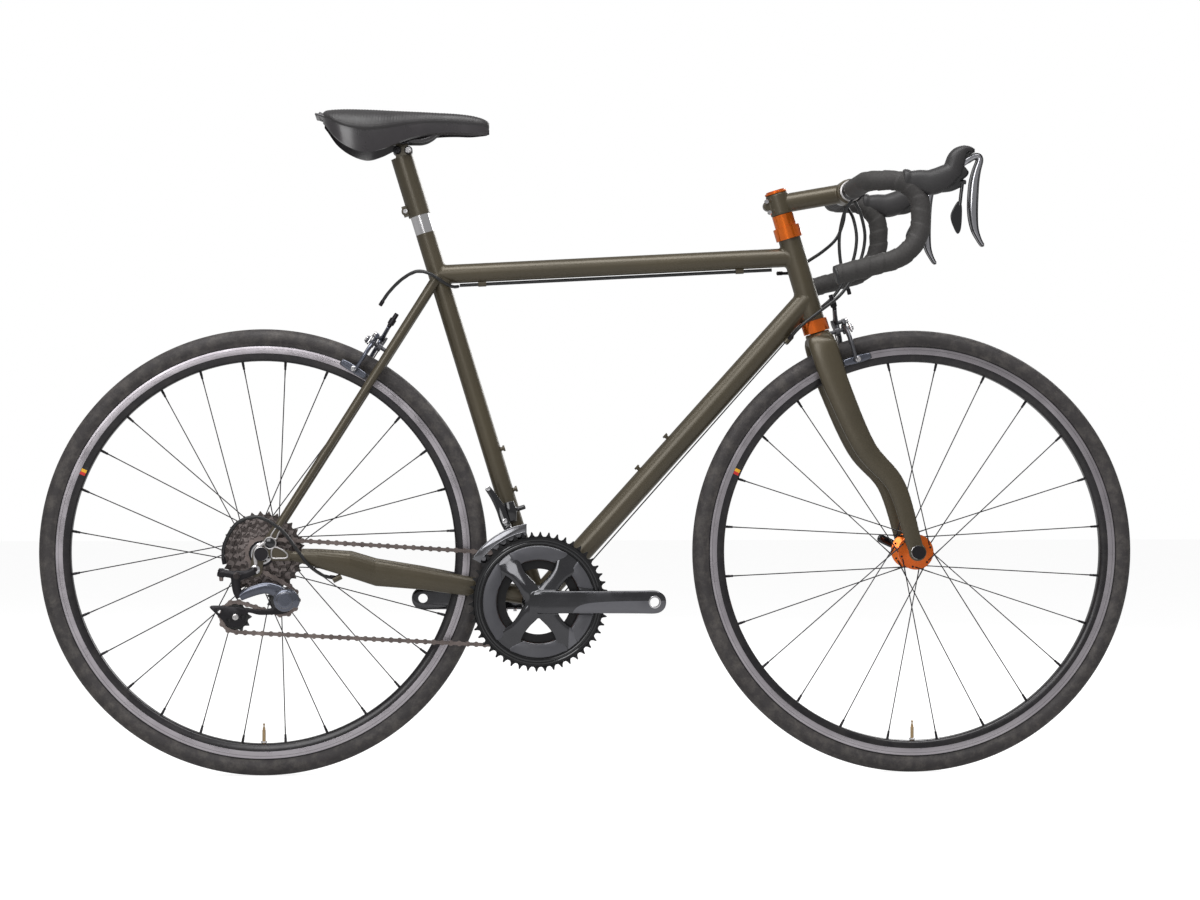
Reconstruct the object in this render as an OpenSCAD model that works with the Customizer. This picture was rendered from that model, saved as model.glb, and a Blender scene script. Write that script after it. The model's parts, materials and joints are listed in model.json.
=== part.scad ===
// Road bicycle with a seat mast, rim brakes and a 2 x 11 drive train.
// X points forward, Y to the rider's left, Z up.
// The origin is on the ground, half way between the two axles.

/* [Wheels] */
// Radius of both wheels over the tyre
wheel_r = 335; // [325:1:345]
// Distance between the two axles
wheelbase = 980; // [965:1:1180]
// Width of the tyre
tyre_w = 27; // [23:1:28]
// Outside radius of the rim
rim_r = 311; // [307:1:315]
// Radial depth of the rim
rim_depth = 24; // [20:1:50]
// Width of the rim over the brake tracks
rim_w = 22; // [19:1:24]
// Number of spokes in the front wheel
front_spoke_count = 24; // [16:4:36]
// Number of spokes in the rear wheel
rear_spoke_count = 28; // [20:4:36]
// Radius of a spoke
spoke_r = 0.9; // [0.8:0.1:1.2]

/* [Frame geometry] */
// Height of the bottom bracket below the axles
bb_drop = 73; // [60:1:80]
// Length from the rear axle to the bottom bracket
chainstay = 417; // [408:1:500]
// Angle of the seat tube from level
seat_angle = 73; // [71:0.5:75]
// Angle of the head tube from level
head_angle = 73.5; // [71:0.5:75]
// Distance from the steering axis to the front axle
fork_rake = 45; // [38:1:52]
// Length from the axle line to the head tube, along the steering axis
fork_length = 365; // [360:1:430]
// Length of the head tube
head_tube_h = 129; // [110:1:230]
// Length from the bottom bracket to the top of the mast
mast_h = 672; // [600:1:760]
// Length from the bottom bracket to the top tube, along the seat tube
top_tube_h = 513; // [470:1:540]

/* [Tubes] */
// Radius of the seat tube
seat_tube_r = 14.3; // [13:0.1:16]
// Radius of the top tube
top_tube_r = 14.3; // [12.7:0.1:16]
// Radius of the down tube
down_tube_r = 17.5; // [15:0.1:20]
// Radius of the head tube
head_tube_r = 17; // [16.5:0.1:20]
// Wall of the frame tubes
tube_wall = 0.9; // [0.6:0.1:1.5]
// Radius of the seat stays at their tops
seat_stay_r = 7.5; // [6:0.1:8]
// Radius of the seat stays at the dropouts
seat_stay_end_r = 5.2; // [4:0.1:6]
// Depth of the chain stays at their deepest
chain_stay_depth = 38; // [22:1:40]
// Radius of the bottom bracket shell
bb_shell_r = 20; // [19:0.5:22]
// Width of the bottom bracket shell
bb_shell_w = 68; // [66:1:70]

/* [Saddle] */
// Length of the saddle
saddle_l = 264; // [240:1:290]
// Width of the saddle
saddle_w = 144; // [125:1:170]
// Height of the rails above the mast
rail_rise = 46; // [42:1:60]

/* [Cockpit] */
// Length of the stem
stem_l = 107; // [80:1:130]
// Rise of the stem above level
stem_rise = 10; // [0:1:20]
// Width of the handlebar, middle to middle
bar_w = 420; // [360:5:460]
// Radius of the handlebar tube
bar_r = 12; // [11:0.1:12.5]
// Thickness of the bar tape
tape_t = 2.5; // [1.5:0.1:3]

/* [Drive train] */
// Length of the cranks
crank_l = 172.5; // [165:2.5:175]
// Teeth on the large chainring
big_teeth = 50; // [48:1:52]
// Teeth on the small chainring
small_teeth = 34; // [34:1:39]
// Radius of the bore for a pedal
pedal_hole_r = 7.1; // [6.9:0.1:7.2]
// Distance between the pulley centres
cage_l = 74; // [58:1:90]

/* [Running fits] */
// Radial clearance of a shaft in its bearing
fit = 0.05; // [0.03:0.01:0.1]

/* [Hidden] */
$fn = 48;

// Colours
olive = "#4a4232";
orange = "#e0641a";
black = "#1c1c1e";
rubber = "#232226";
steel = "#a09a94";
silver = "#c4c4c8";
anthracite = "#4c4d52";
blue_grey = "#5d6578";

// --- Main points ---
rear_axle_at = [-wheelbase / 2, 0, wheel_r];
front_axle_at = [wheelbase / 2, 0, wheel_r];
bb = rear_axle_at + [sqrt(chainstay * chainstay - bb_drop * bb_drop), 0, -bb_drop];
seat_dir = [-cos(seat_angle), 0, sin(seat_angle)];
steer_dir = [-cos(head_angle), 0, sin(head_angle)];
steer_fwd = [sin(head_angle), 0, cos(head_angle)];
steer_foot = front_axle_at - [fork_rake / sin(head_angle), 0, 0];
function seat_pt(h) = bb + seat_dir * h;
function steer_pt(t) = steer_foot + steer_dir * t;

head_low = fork_length;
head_top = fork_length + head_tube_h;
down_join = head_low + 34;
top_join = head_top - 29;
cup_h = 19;
spacer_h = 19;
cup_r = head_tube_r + 3.2;
crown_top = head_low - cup_h;
stem_low = head_top + cup_h + spacer_h;
stem_clamp_h = 33;
stem_clamp_r = 17;
stem_mid = stem_low + stem_clamp_h / 2;
steerer_r = 14.3;
bar_clamp_r = 15.9;
bar_at = steer_pt(stem_mid) + [stem_l * cos(stem_rise), 0, stem_l * sin(stem_rise)];

// --- Rear end ---
rear_half = 65;
dropout_t = 7;
stay_end_y = rear_half + dropout_t / 2;
seat_stay_top = seat_pt(top_tube_h - 2) + [0, 15, 0];
seat_stay_end = rear_axle_at + [24, stay_end_y, 41];
chain_stay_end = rear_axle_at + [42, stay_end_y, -3];
bridge_share = 0.31;
bridge_at = [
    seat_stay_top.x + (seat_stay_end.x - seat_stay_top.x) * bridge_share,
    0,
    seat_stay_top.z + (seat_stay_end.z - seat_stay_top.z) * bridge_share,
];
stay_lean = atan2(seat_stay_top.x - seat_stay_end.x, seat_stay_top.z - seat_stay_end.z);
hanger_at = rear_axle_at + [-8, 0, -25];

// --- Drive train ---
pitch = 12.7;
roller_r = 3.85;
tooth_gap = 0.7;
cog_y = -59.5;
cog_step = 3.74;
cog_teeth = [11, 12, 13, 14, 15, 17, 19, 21, 24, 27, 30];
small_ring_y = -40.2;
big_ring_y = -47.6;
guide_at = rear_axle_at + [31, 0, -68.5];
cage_rest = 206;
function pitch_r(teeth) = pitch / (2 * sin(180 / teeth));

// The chain runs round the small ring, the smallest cog and the two pulleys.
// Each stop is [centre, pitch radius, turning sense, teeth, Y].
function xz(p) = [p.x, p.z];
function tension_at(a) = xz(guide_at) + cage_l * [cos(a), sin(a)];
function stops(a) = [
    [xz(bb), pitch_r(small_teeth), 1, small_teeth, small_ring_y],
    [xz(rear_axle_at), pitch_r(cog_teeth[0]), 1, cog_teeth[0], cog_y],
    [xz(guide_at), pitch_r(11), -1, 11, cog_y],
    [tension_at(a), pitch_r(11), 1, 11, cog_y],
];
function turn(a) = a - 360 * floor(a / 360);
function heading(p, q) =
    let (d = q[0] - p[0])
    atan2(d.y, d.x) + asin((p[2] * p[1] - q[2] * q[1]) / norm(d));
function run(p, q) =
    let (d = q[0] - p[0], off = p[2] * p[1] - q[2] * q[1])
    sqrt(d * d - off * off);
// Each leg is [heading in, degrees round the stop, links round it, length of the run after it].
function legs(s) = [for (i = [0:3])
    let (
        before = s[(i + 3) % 4],
        here = s[i],
        after = s[(i + 1) % 4],
        h_in = heading(before, here),
        bend = turn(here[2] * (heading(here, after) - h_in))
    )
    [h_in, bend, bend / 360 * here[3], run(here, after)]];
function chain_length(a) = let (l = legs(stops(a)))
    pitch * (l[0][2] + l[1][2] + l[2][2] + l[3][2]) + l[0][3] + l[1][3] + l[2][3] + l[3][3];
chain_links = 2 * round(chain_length(cage_rest) / pitch / 2);
// The cage settles at the angle where the chain has a whole number of links.
function settle(low, high, n) =
    let (mid = (low + high) / 2)
    n == 0 ? mid :
    chain_length(mid) > chain_links * pitch ? settle(mid, high, n - 1) : settle(low, mid, n - 1);
cage_angle = settle(cage_rest - 25, cage_rest + 25, 30);
chain_stops = stops(cage_angle);
chain_legs = legs(chain_stops);
function leg_start(i) = i == 0 ? 0 :
    leg_start(i - 1) + chain_legs[i - 1][2] * pitch + chain_legs[i - 1][3];
leg_starts = [for (i = [0:4]) i < 4 ? leg_start(i) : chain_links * pitch];
function smooth(t) = t * t * (3 - 2 * t);
function on_stop(i, s) =
    let (
        stop = chain_stops[i],
        a = chain_legs[i][0] - stop[2] * 90 + stop[2] * s / pitch * 360 / stop[3]
    )
    [stop[0].x + stop[1] * cos(a), stop[4], stop[0].y + stop[1] * sin(a)];
function on_run(i, s) =
    let (
        h = chain_legs[(i + 1) % 4][0],
        from = chain_stops[i],
        start = from[0] + from[1] * from[2] * [cos(h - 90), sin(h - 90)],
        t = s / chain_legs[i][3],
        y = from[4] + (chain_stops[(i + 1) % 4][4] - from[4]) * smooth(t)
    )
    [start.x + s * cos(h), y, start.y + s * sin(h)];
function chain_pin(k) =
    let (
        s = k * pitch,
        i = s < leg_starts[1] ? 0 : s < leg_starts[2] ? 1 : s < leg_starts[3] ? 2 : 3,
        into = s - leg_starts[i],
        bent = chain_legs[i][2] * pitch
    )
    into < bent ? on_stop(i, into) : on_run(i, into - bent);
// Angle of the first pin that lies on a stop, which sets the phase of its teeth.
function stop_phase(i) =
    let (
        k = ceil(leg_starts[i] / pitch),
        p = chain_pin(k),
        c = chain_stops[i][0]
    )
    atan2(p.z - c.y, p.x - c.x);
tension_pulley_at = [chain_stops[3][0].x, 0, chain_stops[3][0].y];

// --- Brakes ---
brake_reach = 49;
brake_bolt_r = 3;
pad_gap = 1.8;
pad_t = 9;
pad_l = 48;
arm_y = rim_w / 2 + pad_gap;
front_brake_at = steer_pt(crown_top - 7) + steer_fwd * 38;
rear_brake_at = bridge_at + [-cos(stay_lean) * 25, 0, sin(stay_lean) * 25];

// --- Helpers ---
function yaw_pitch(v) = [0, acos(v.z / norm(v)), atan2(v.y, v.x)];
module from_to(p, q) {
    translate(p) rotate(yaw_pitch(q - p)) children();
}
module rod(p, q, r, r_end = 0) {
    from_to(p, q) cylinder(h = norm(q - p), r1 = r, r2 = r_end > 0 ? r_end : r);
}
module y_rod(r, y0, y1) {
    translate([0, y0, 0]) rotate([-90, 0, 0]) cylinder(h = y1 - y0, r = r);
}
// Extrudes a flat shape drawn in X and Z from y0 to y1.
module plate(y0, y1) {
    translate([0, y1, 0]) rotate([90, 0, 0]) linear_extrude(y1 - y0) children();
}
module strap2(p, q, r, r_end) {
    hull() {
        translate(p) circle(r = r, $fn = 32);
        translate(q) circle(r = r_end, $fn = 32);
    }
}
module both_sides() {
    children();
    mirror([0, 1, 0]) children();
}
module pipe(p, q, r, wall) {
    u = (q - p) / norm(q - p);
    difference() {
        rod(p, q, r);
        rod(p - u, q + u, r - wall);
    }
}
// An upright turned to lie along the steering axis, t mm above the axle line.
module on_steer(t) {
    translate(steer_pt(t)) rotate([0, head_angle - 90, 0]) children();
}
module on_seat(h) {
    translate(seat_pt(h)) rotate([0, seat_angle - 90, 0]) children();
}
// A closed solid over rings of points, each ring with the same number of points.
module skin(rings) {
    sides = len(rings[0]);
    last = len(rings) - 1;
    polyhedron(
        points = [for (ring = rings) each ring],
        faces = concat(
            [[for (k = [0:sides - 1]) k]],
            [for (i = [0:last - 1]) for (k = [0:sides - 1])
                let (j = (k + 1) % sides)
                [i * sides + k, (i + 1) * sides + k, (i + 1) * sides + j, i * sides + j]],
            [[for (k = [sides - 1:-1:0]) last * sides + k]]
        )
    );
}
// A round cord swept through its points.
function cord_dir(pts, i) =
    let (a = pts[max(i - 1, 0)], b = pts[min(i + 1, len(pts) - 1)])
    (b - a) / norm(b - a);
function cord_ring(pts, i, r, sides) =
    let (
        t = cord_dir(pts, i),
        u = cross(t, [0.13, 0.99, 0.06]),
        n = u / norm(u),
        b = cross(t, n)
    )
    [for (k = [0:sides - 1]) pts[i] + r * (cos(k * 360 / sides) * n + sin(k * 360 / sides) * b)];
module cord(pts, r, sides = 8) {
    skin([for (i = [0:len(pts) - 1]) cord_ring(pts, i, r, sides)]);
}
// A straight round bar that tapers from p to q.
module taper(p, q, r, r_end) {
    skin([cord_ring([p, q], 0, r, 32), cord_ring([p, q], 1, r_end, 32)]);
}
// Points of a smooth curve through hand-set points, n steps between each pair.
function curve_pt(p, i, t) =
    let (
        a = p[max(i - 1, 0)],
        b = p[i],
        c = p[i + 1],
        d = p[min(i + 2, len(p) - 1)]
    )
    0.5 * (2 * b + t * (c - a) + t * t * (2 * a - 5 * b + 4 * c - d) + t * t * t * (3 * b - 3 * c + d - a));
function curve(p, n) = concat(
    [for (i = [0:len(p) - 2]) for (k = [0:n - 1]) curve_pt(p, i, k / n)],
    [p[len(p) - 1]]
);

// --- Frame ---
module seat_tube() {
    color(olive) difference() {
        pipe(bb, seat_pt(mast_h), seat_tube_r, tube_wall);
        translate(bb) y_rod(bb_shell_r, -40, 40);
        for (h = seat_bolt_hs) rod(seat_pt(h), seat_pt(h) + seat_fwd * 30, cage_bolt_r);
    }
}
module top_tube() {
    color(olive) difference() {
        pipe(seat_pt(top_tube_h), steer_pt(top_join), top_tube_r, tube_wall);
        rod(bb, seat_pt(mast_h), seat_tube_r);
        rod(steer_pt(head_low), steer_pt(head_top), head_tube_r);
    }
}
module down_tube() {
    color(olive) difference() {
        pipe(bb, steer_pt(down_join), down_tube_r, tube_wall);
        rod(bb, seat_pt(top_tube_h), seat_tube_r);
        translate(bb) y_rod(bb_shell_r, -40, 40);
        rod(steer_pt(head_low), steer_pt(head_top), head_tube_r);
        for (t = down_bolt_ts) rod(bb + down_dir * t, bb + down_dir * t + down_up * 30, cage_bolt_r);
    }
}
module head_tube() {
    color(olive) pipe(steer_pt(head_low), steer_pt(head_top), head_tube_r, 1.6);
}
module bb_shell() {
    color(olive) translate(bb) difference() {
        y_rod(bb_shell_r, -bb_shell_w / 2, bb_shell_w / 2);
        y_rod(bb_shell_r - 2.6, -bb_shell_w, bb_shell_w);
    }
}
// Middle, half width and half height of the chain stay at points from the dropout forward.
stay_mid = chain_stay_end + [108, -17, -21];
stay_front = bb + [-88, 27, 20];
stay_root = bb + [-6, 23, 5];
stay_stations = [
    [chain_stay_end, 4.5, 6.5],
    [chain_stay_end + [40, -4, -6], 6, 12],
    [stay_mid - [20, -5, -6], 7.5, chain_stay_depth / 2 - 1],
    [stay_mid + [18, -5, -6], 7.5, chain_stay_depth / 2],
    [(stay_mid + stay_front) / 2 + [0, -1, 0], 7.5, chain_stay_depth / 4 + 7],
    [stay_front, 7.5, 14.5],
    [stay_root, 8, 12.5],
];
function stay_ring(station) = [for (k = [0:19])
    station[0] + [0, -station[1] * cos(k * 18), station[2] * sin(k * 18)]];
module chain_stay_solid() {
    skin([for (station = stay_stations) stay_ring(station)]);
}
module chain_stay() {
    difference() {
        chain_stay_solid();
        translate(bb) y_rod(bb_shell_r, -40, 40);
        rod(bb, seat_pt(top_tube_h), seat_tube_r);
    }
}
module chain_stays() {
    color(olive) both_sides() chain_stay();
}
module seat_stays() {
    color(olive) {
        both_sides() difference() {
            taper(seat_stay_top, seat_stay_end, seat_stay_r, seat_stay_end_r);
            rod(bb, seat_pt(mast_h), seat_tube_r);
        }
        difference() {
            translate(bridge_at) y_rod(6, -bridge_half, bridge_half);
            both_sides() rod(seat_stay_top, seat_stay_end, seat_stay_r, seat_stay_end_r);
            translate(bridge_at) rotate([0, stay_lean - 90, 0])
                cylinder(h = 40, r = brake_bolt_r, center = true);
        }
    }
}
bridge_half = seat_stay_top.y + (seat_stay_end.y - seat_stay_top.y) * bridge_share;
// The dropout: sockets for both stays, an axle slot that opens downwards, and on the
// right the hanger for the rear mech.
module dropout_shape(with_hanger) {
    stay_socket = xz(seat_stay_end - rear_axle_at);
    chain_socket = xz(chain_stay_end - rear_axle_at);
    difference() {
        union() {
            strap2([8, 10], stay_socket, 10, 6);
            strap2([2, 2], chain_socket, 12, 7);
            circle(r = 13);
            if (with_hanger) strap2([-4, 0], xz(hanger_at - rear_axle_at), 9, 9);
        }
        circle(r = axle_r);
        translate([0, -axle_r]) rotate(-55) square([30, 2 * axle_r]);
        translate(stay_socket) circle(r = 3);
        if (with_hanger) translate(xz(hanger_at - rear_axle_at)) circle(r = 5);
    }
}
axle_r = 5;
module dropouts() {
    color(silver) difference() {
        translate(rear_axle_at) {
            plate(-rear_half - dropout_t, -rear_half) dropout_shape(true);
            plate(rear_half, rear_half + dropout_t) dropout_shape(false);
        }
        both_sides() {
            rod(seat_stay_top, seat_stay_end, seat_stay_r, seat_stay_end_r);
            rod(stay_stations[0][0], stay_stations[1][0], 6.6, 12.1);
        }
    }
}
// A ring round the steering axis.
module steer_ring(t, h, r_out, r_in) {
    on_steer(t) difference() {
        cylinder(h = h, r = r_out);
        translate([0, 0, -1]) cylinder(h = h + 2, r = r_in);
    }
}
race_r = steerer_r + fit;
module bearing_cups() {
    color(orange) {
        steer_ring(crown_top + 0.3, cup_h - 0.3, cup_r, race_r);
        steer_ring(head_top, cup_h - 0.3, cup_r, race_r);
    }
    color(black) both_sides() translate(bb) difference() {
        union() {
            y_rod(22, bb_shell_w / 2, bb_shell_w / 2 + 10);
            y_rod(bb_shell_r - 2.6, bb_shell_w / 2 - 12, bb_shell_w / 2);
        }
        y_rod(crank_axle_r + fit, 0, 60);
    }
}
crank_axle_r = 12;
cage_bolt_r = 3;
// Cage bolts in the tubes, and the stops that hold the cables.
module tube_bolt(at, out, r) {
    rod(at + out * (r - 3), at + out * (r + 3), cage_bolt_r);
    rod(at + out * (r + 3), at + out * (r + 6), 4.5);
}
down_dir = (steer_pt(down_join) - bb) / norm(steer_pt(down_join) - bb);
down_up = [-down_dir.z, 0, down_dir.x];
top_dir = (steer_pt(top_join) - seat_pt(top_tube_h)) / norm(steer_pt(top_join) - seat_pt(top_tube_h));
top_up = [-top_dir.z, 0, top_dir.x];
seat_fwd = [sin(seat_angle), 0, cos(seat_angle)];
seat_bolt_hs = [170, 234];
down_bolt_ts = [250, 314];
top_guide_ts = [60, 450];
down_length = norm(steer_pt(down_join) - bb);
stop_t = down_length - 72;
module frame_fittings() {
    color(silver) {
        for (h = seat_bolt_hs) tube_bolt(seat_pt(h), seat_fwd, seat_tube_r);
        for (t = down_bolt_ts) tube_bolt(bb + down_dir * t, down_up, down_tube_r);
    }
    color(olive) {
        for (t = top_guide_ts) difference() {
            from_to(seat_pt(top_tube_h) + top_dir * t - top_up * (top_tube_r + 2), seat_pt(top_tube_h)
                + top_dir * (t + 12) - top_up * (top_tube_r + 2)) cylinder(h = 12, r = 5);
            rod(seat_pt(top_tube_h), steer_pt(top_join), top_tube_r);
            from_to(seat_pt(top_tube_h) + top_dir * (t - 1) - top_up * brake_run, seat_pt(top_tube_h)
                + top_dir * (t + 13) - top_up * brake_run) cylinder(h = 14, r = housing_r + 0.1);
        }
        both_sides() difference() {
            from_to(bb + down_dir * stop_t + wire_off, bb + down_dir * (stop_t + 14) + wire_off)
                cylinder(h = 14, r = 5);
            rod(bb, steer_pt(down_join), down_tube_r);
            rod(bb + down_dir * (stop_t - 9) + wire_off, bb + down_dir * (stop_t + 8) + wire_off, 1.2);
            rod(bb + down_dir * (stop_t + 7) + wire_off, bb + down_dir * (stop_t + 24) + wire_off,
                housing_r + 0.1);
        }
        difference() {
            rod(stay_stop - [6, 1, 3], stay_stop + [6, 1, 3], 4.5);
            cord(curve(mech_loop, 2), housing_r + 0.1);
        }
    }
    color(black) {
        // Wire guide under the shell
        translate(bb) difference() {
            intersection() {
                y_rod(bb_shell_r + 3.4, -12, 12);
                translate([-8, -20, -60]) cube([24, 40, 45]);
            }
            y_rod(bb_shell_r, -20, 20);
            for (y = [-wire_y, wire_y]) translate([0, y, 0]) rotate([90, 0, 0])
                rotate_extrude() translate([bb_shell_r + 2.2, 0]) circle(r = 1.1);
        }
    }
}
housing_r = 2.5;
brake_run = top_tube_r + 3.4;
wire_y = 6;
wire_r = 0.6;
wire_off = [0, wire_y, 0] - down_up * (down_tube_r + 1.6);
// Bare shift wires, the rear brake cable and the loop to the rear mech.
mech_loop = [
    [-381, -57, 299], [-398, -62, 302], [-420, -74, 318], [-437, -80, 341], [-462, -81, 372],
    [-495, -81, 390], [-526, -80, 380], [-543, -78, 352], [-546, -76, 332], [-544, -75, 320],
];
stay_stop = mech_loop[0] + [2, 0, -1];
rear_brake_route = [
    [-199, 0, 735], [-205, -9, 734], [-214, -20, 736], [-226, -27, 743], [-242, -28, 753],
    [-262, -25, 756], [-284, -20, 744], [-304, -12, 724], [-316, -4, 706],
];
module frame_cables() {
    color(black) {
        cord(curve(mech_loop, 2), housing_r);
        cord(curve(rear_brake_route, 2), housing_r);
        rod(top_cable_from, top_cable_to, housing_r);
    }
    color(steel) for (y = [-1, 1]) {
        rod(bb + down_dir * 14 + [0, y * wire_y, 0] - down_up * (down_tube_r + 1.6 + 3.1),
            bb + down_dir * (stop_t + 8) + [0, y * wire_y, 0] - down_up * (down_tube_r + 1.6), wire_r);
    }
}
top_cable_from = seat_pt(top_tube_h) + top_dir * 32 - top_up * brake_run;
top_cable_to = seat_pt(top_tube_h) + top_dir * 505 - top_up * brake_run;
// Housings from the handlebar to the frame. They bend as the steering turns.
bar_routes = [
    [[396, 46, 862], [405, 34, 842], [409, 27, 808], [400, 25, 768], [376, 26, 726], [345, 26, 698],
        [318, 24, 676], [300, 15, 656]],
    [[396, -46, 862], [407, -36, 842], [414, -28, 808], [405, -26, 768], [380, -26, 726], [346, -26, 698],
        [318, -24, 676], [300, -15, 656]],
    [[396, 62, 862], [392, 54, 838], [380, 44, 812], [358, 34, 792], [334, 30, 776], [312, 28, 760],
        [286, 16, 757]],
];
module bar_housings() {
    color(black) for (route = bar_routes) cord(curve(route, 2), housing_r);
}
front_brake_route = [
    [390, -60, 862], [380, -52, 846], [374, -38, 810], [378, -22, 772], [388, -14, 742], [393, -12, 724],
];
module front_brake_housing() {
    color(black) cord(curve(front_brake_route, 2), housing_r);
}

// --- Front mech ---
mech_clamp_h = 140;
cage_in_y = -34.5;
cage_out_y = -46.9;
cage_t = 1;
cage_low_r = pitch_r(big_teeth) + 4.5;
module front_mech_body() {
    color(anthracite) difference() {
        union() {
            on_seat(mech_clamp_h - 18) translate([-6, -24, 0]) cube([16, 24, 36]);
            on_seat(mech_clamp_h) translate([5, -19, 0]) rotate([0, 90, 0]) cylinder(h = 14, r = 4);
        }
        rod(bb, seat_pt(mast_h), seat_tube_r);
    }
}
// One flat side of the cage: an arc round the big ring, cut by straight ends.
module cage_side(r_in, r_out) {
    intersection() {
        difference() {
            circle(r = r_out);
            circle(r = r_in);
        }
        polygon([[0, 0], [-14, 200], [-200, 200], [-200, 78]]);
    }
}
module front_mech_cage() {
    arm_foot = xz(bb) + [-50, 122];
    arm_knee = xz(bb) + [-58, 146];
    color(silver) translate(bb) {
        plate(cage_in_y - cage_t / 2, cage_in_y + cage_t / 2) cage_side(cage_low_r - 12, cage_low_r + 12);
        plate(cage_out_y - cage_t / 2, cage_out_y + cage_t / 2) cage_side(cage_low_r, cage_low_r + 12);
        plate(cage_out_y, cage_in_y) intersection() {
            cage_side(cage_low_r + 9.5, cage_low_r + 12);
            translate([-64, 60]) square([50, 80]);
        }
    }
    color(anthracite) {
        plate(cage_in_y, -25.5) strap2(xz(bb) + [-44, 106], arm_foot, 5, 7);
        plate(-31.5, -25.5) {
            strap2(arm_foot, arm_knee, 7, 6);
            strap2(arm_knee, xz(bb) + [-76, 170], 6, 4.5);
        }
    }
}

// --- Rear mech ---
// The swing arm turns on tilted pins, so the pulleys go inwards and down together.
link_tilt = 33;
link_y = -78;
link_pin_r = 3;
link_half = 7;
link_from = [hanger_at.x - 14, link_y, hanger_at.z - 39];
link_to = [guide_at.x + 7, link_y, guide_at.z + 5];
plate_y = -rear_half - dropout_t;
module on_link(at) {
    translate(at) rotate([-link_tilt, 0, 0]) children();
}
// A pin with an ear at each end and a web, on the side away from the swing arm.
module link_ears(side) {
    cylinder(h = 2 * link_half + 8, r = link_pin_r, center = true);
    for (z = [-link_half - 4, link_half + 0.3]) translate([0, 0, z]) cylinder(h = 3.7, r = 5.5);
    translate([side > 0 ? 7 : -10, -4, -link_half - 4]) cube([3, 13, 2 * link_half + 8]);
    for (z = [-link_half - 4, link_half + 0.3]) translate([side > 0 ? 0 : -10, -4, z]) cube([10, 8, 3.7]);
}
module mech_hanger_link() {
    hanger = xz(hanger_at);
    knee = hanger + [-25, -9];
    color(black) {
        translate(hanger_at) y_rod(5, plate_y, -rear_half);
        plate(plate_y - 6, plate_y) {
            strap2(hanger, knee, 9, 9);
            strap2(knee, hanger + [-46, 2], 8, 5);
            strap2(knee, xz(link_from) + [-10, 6], 8, 4);
        }
        translate(hanger_at) y_rod(6, plate_y - 8, plate_y - 6);
        on_link(link_from) link_ears(-1);
    }
}
module link_barrel() {
    difference() {
        cylinder(h = 2 * link_half, r = 5.2, center = true);
        cylinder(h = 3 * link_half, r = link_pin_r + fit, center = true);
    }
}
module mech_outer_link() {
    color(blue_grey) {
        on_link(link_from) link_barrel();
        on_link(link_to) link_barrel();
        difference() {
            hull() {
                on_link(link_from) cylinder(h = 10, r = 5, center = true, $fn = 24);
                on_link(link_to) cylinder(h = 13, r = 5, center = true, $fn = 24);
            }
            on_link(link_from) cylinder(h = 30, r = 5.1, center = true);
            on_link(link_to) cylinder(h = 30, r = 5.1, center = true);
        }
    }
}
cage_plate_out = cog_y - 5;
cage_plate_in = cog_y + 5;
module mech_knuckle() {
    color(blue_grey) {
        difference() {
            translate([guide_at.x, 0, guide_at.z]) y_rod(13, cage_plate_out - 5, cage_plate_out - 1.2);
            translate([guide_at.x, 0, guide_at.z]) y_rod(4 + fit, -90, 0);
        }
        on_link(link_to) link_ears(1);
    }
}
module cage_outline() {
    tail = tension_at(cage_angle) + [-36, 14];
    strap2(xz(guide_at), tension_at(cage_angle), 9, 9);
    strap2(xz(guide_at), tail, 9, 3);
    strap2(tension_at(cage_angle), tail, 9, 3);
}
module mech_cage() {
    color(black) {
        plate(cage_plate_out - 0.8, cage_plate_out + 0.8) cage_outline();
        plate(cage_plate_in - 0.8, cage_plate_in + 0.8)
            strap2(xz(guide_at), tension_at(cage_angle), 8, 8);
        translate([guide_at.x, 0, guide_at.z]) y_rod(4, cage_plate_out - 5, cage_plate_out);
    }
    color(steel) for (p = [guide_at, tension_pulley_at])
        translate([p.x, 0, p.z]) y_rod(2.5, cage_plate_out, cage_plate_in);
}
// A toothed wheel whose first tooth gap lies at the given angle.
module toothed(teeth, phase, thick, bore, tip = 1.7) {
    translate([0, thick / 2, 0]) rotate([90, 0, 0]) linear_extrude(thick) difference() {
        circle(r = pitch_r(teeth) + tip);
        for (i = [0:teeth - 1]) rotate(phase + i * 360 / teeth)
            translate([pitch_r(teeth), 0]) circle(r = roller_r + tooth_gap, $fn = 24);
        circle(r = bore);
    }
}
module pulley(at, stop) {
    color(black) translate([at.x, cog_y, at.z]) {
        toothed(11, stop_phase(stop), 1.5, 2.5 + fit, 1.4);
        difference() {
            y_rod(6, -3.8, 3.8);
            y_rod(2.5 + fit, -5, 5);
        }
    }
}
module guide_pulley() { pulley(guide_at, 2); }
module tension_pulley() { pulley(tension_pulley_at, 3); }

// --- Drive train ---
freehub_r = 17;
module cassette() {
    color(steel) translate(rear_axle_at) {
        for (i = [0:len(cog_teeth) - 1]) translate([0, cog_y + i * cog_step, 0])
            toothed(cog_teeth[i], i == 0 ? stop_phase(1) : i * 7, 1.5, freehub_r);
        difference() {
            y_rod(freehub_r, cog_y - 3, cog_y + 10.5 * cog_step);
            y_rod(axle_r + fit, -80, 0);
        }
        difference() {
            y_rod(pitch_r(11) - 5, cog_y - 1, cog_y + 10 * cog_step + 1);
            y_rod(freehub_r, -80, 0);
        }
    }
}
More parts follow.
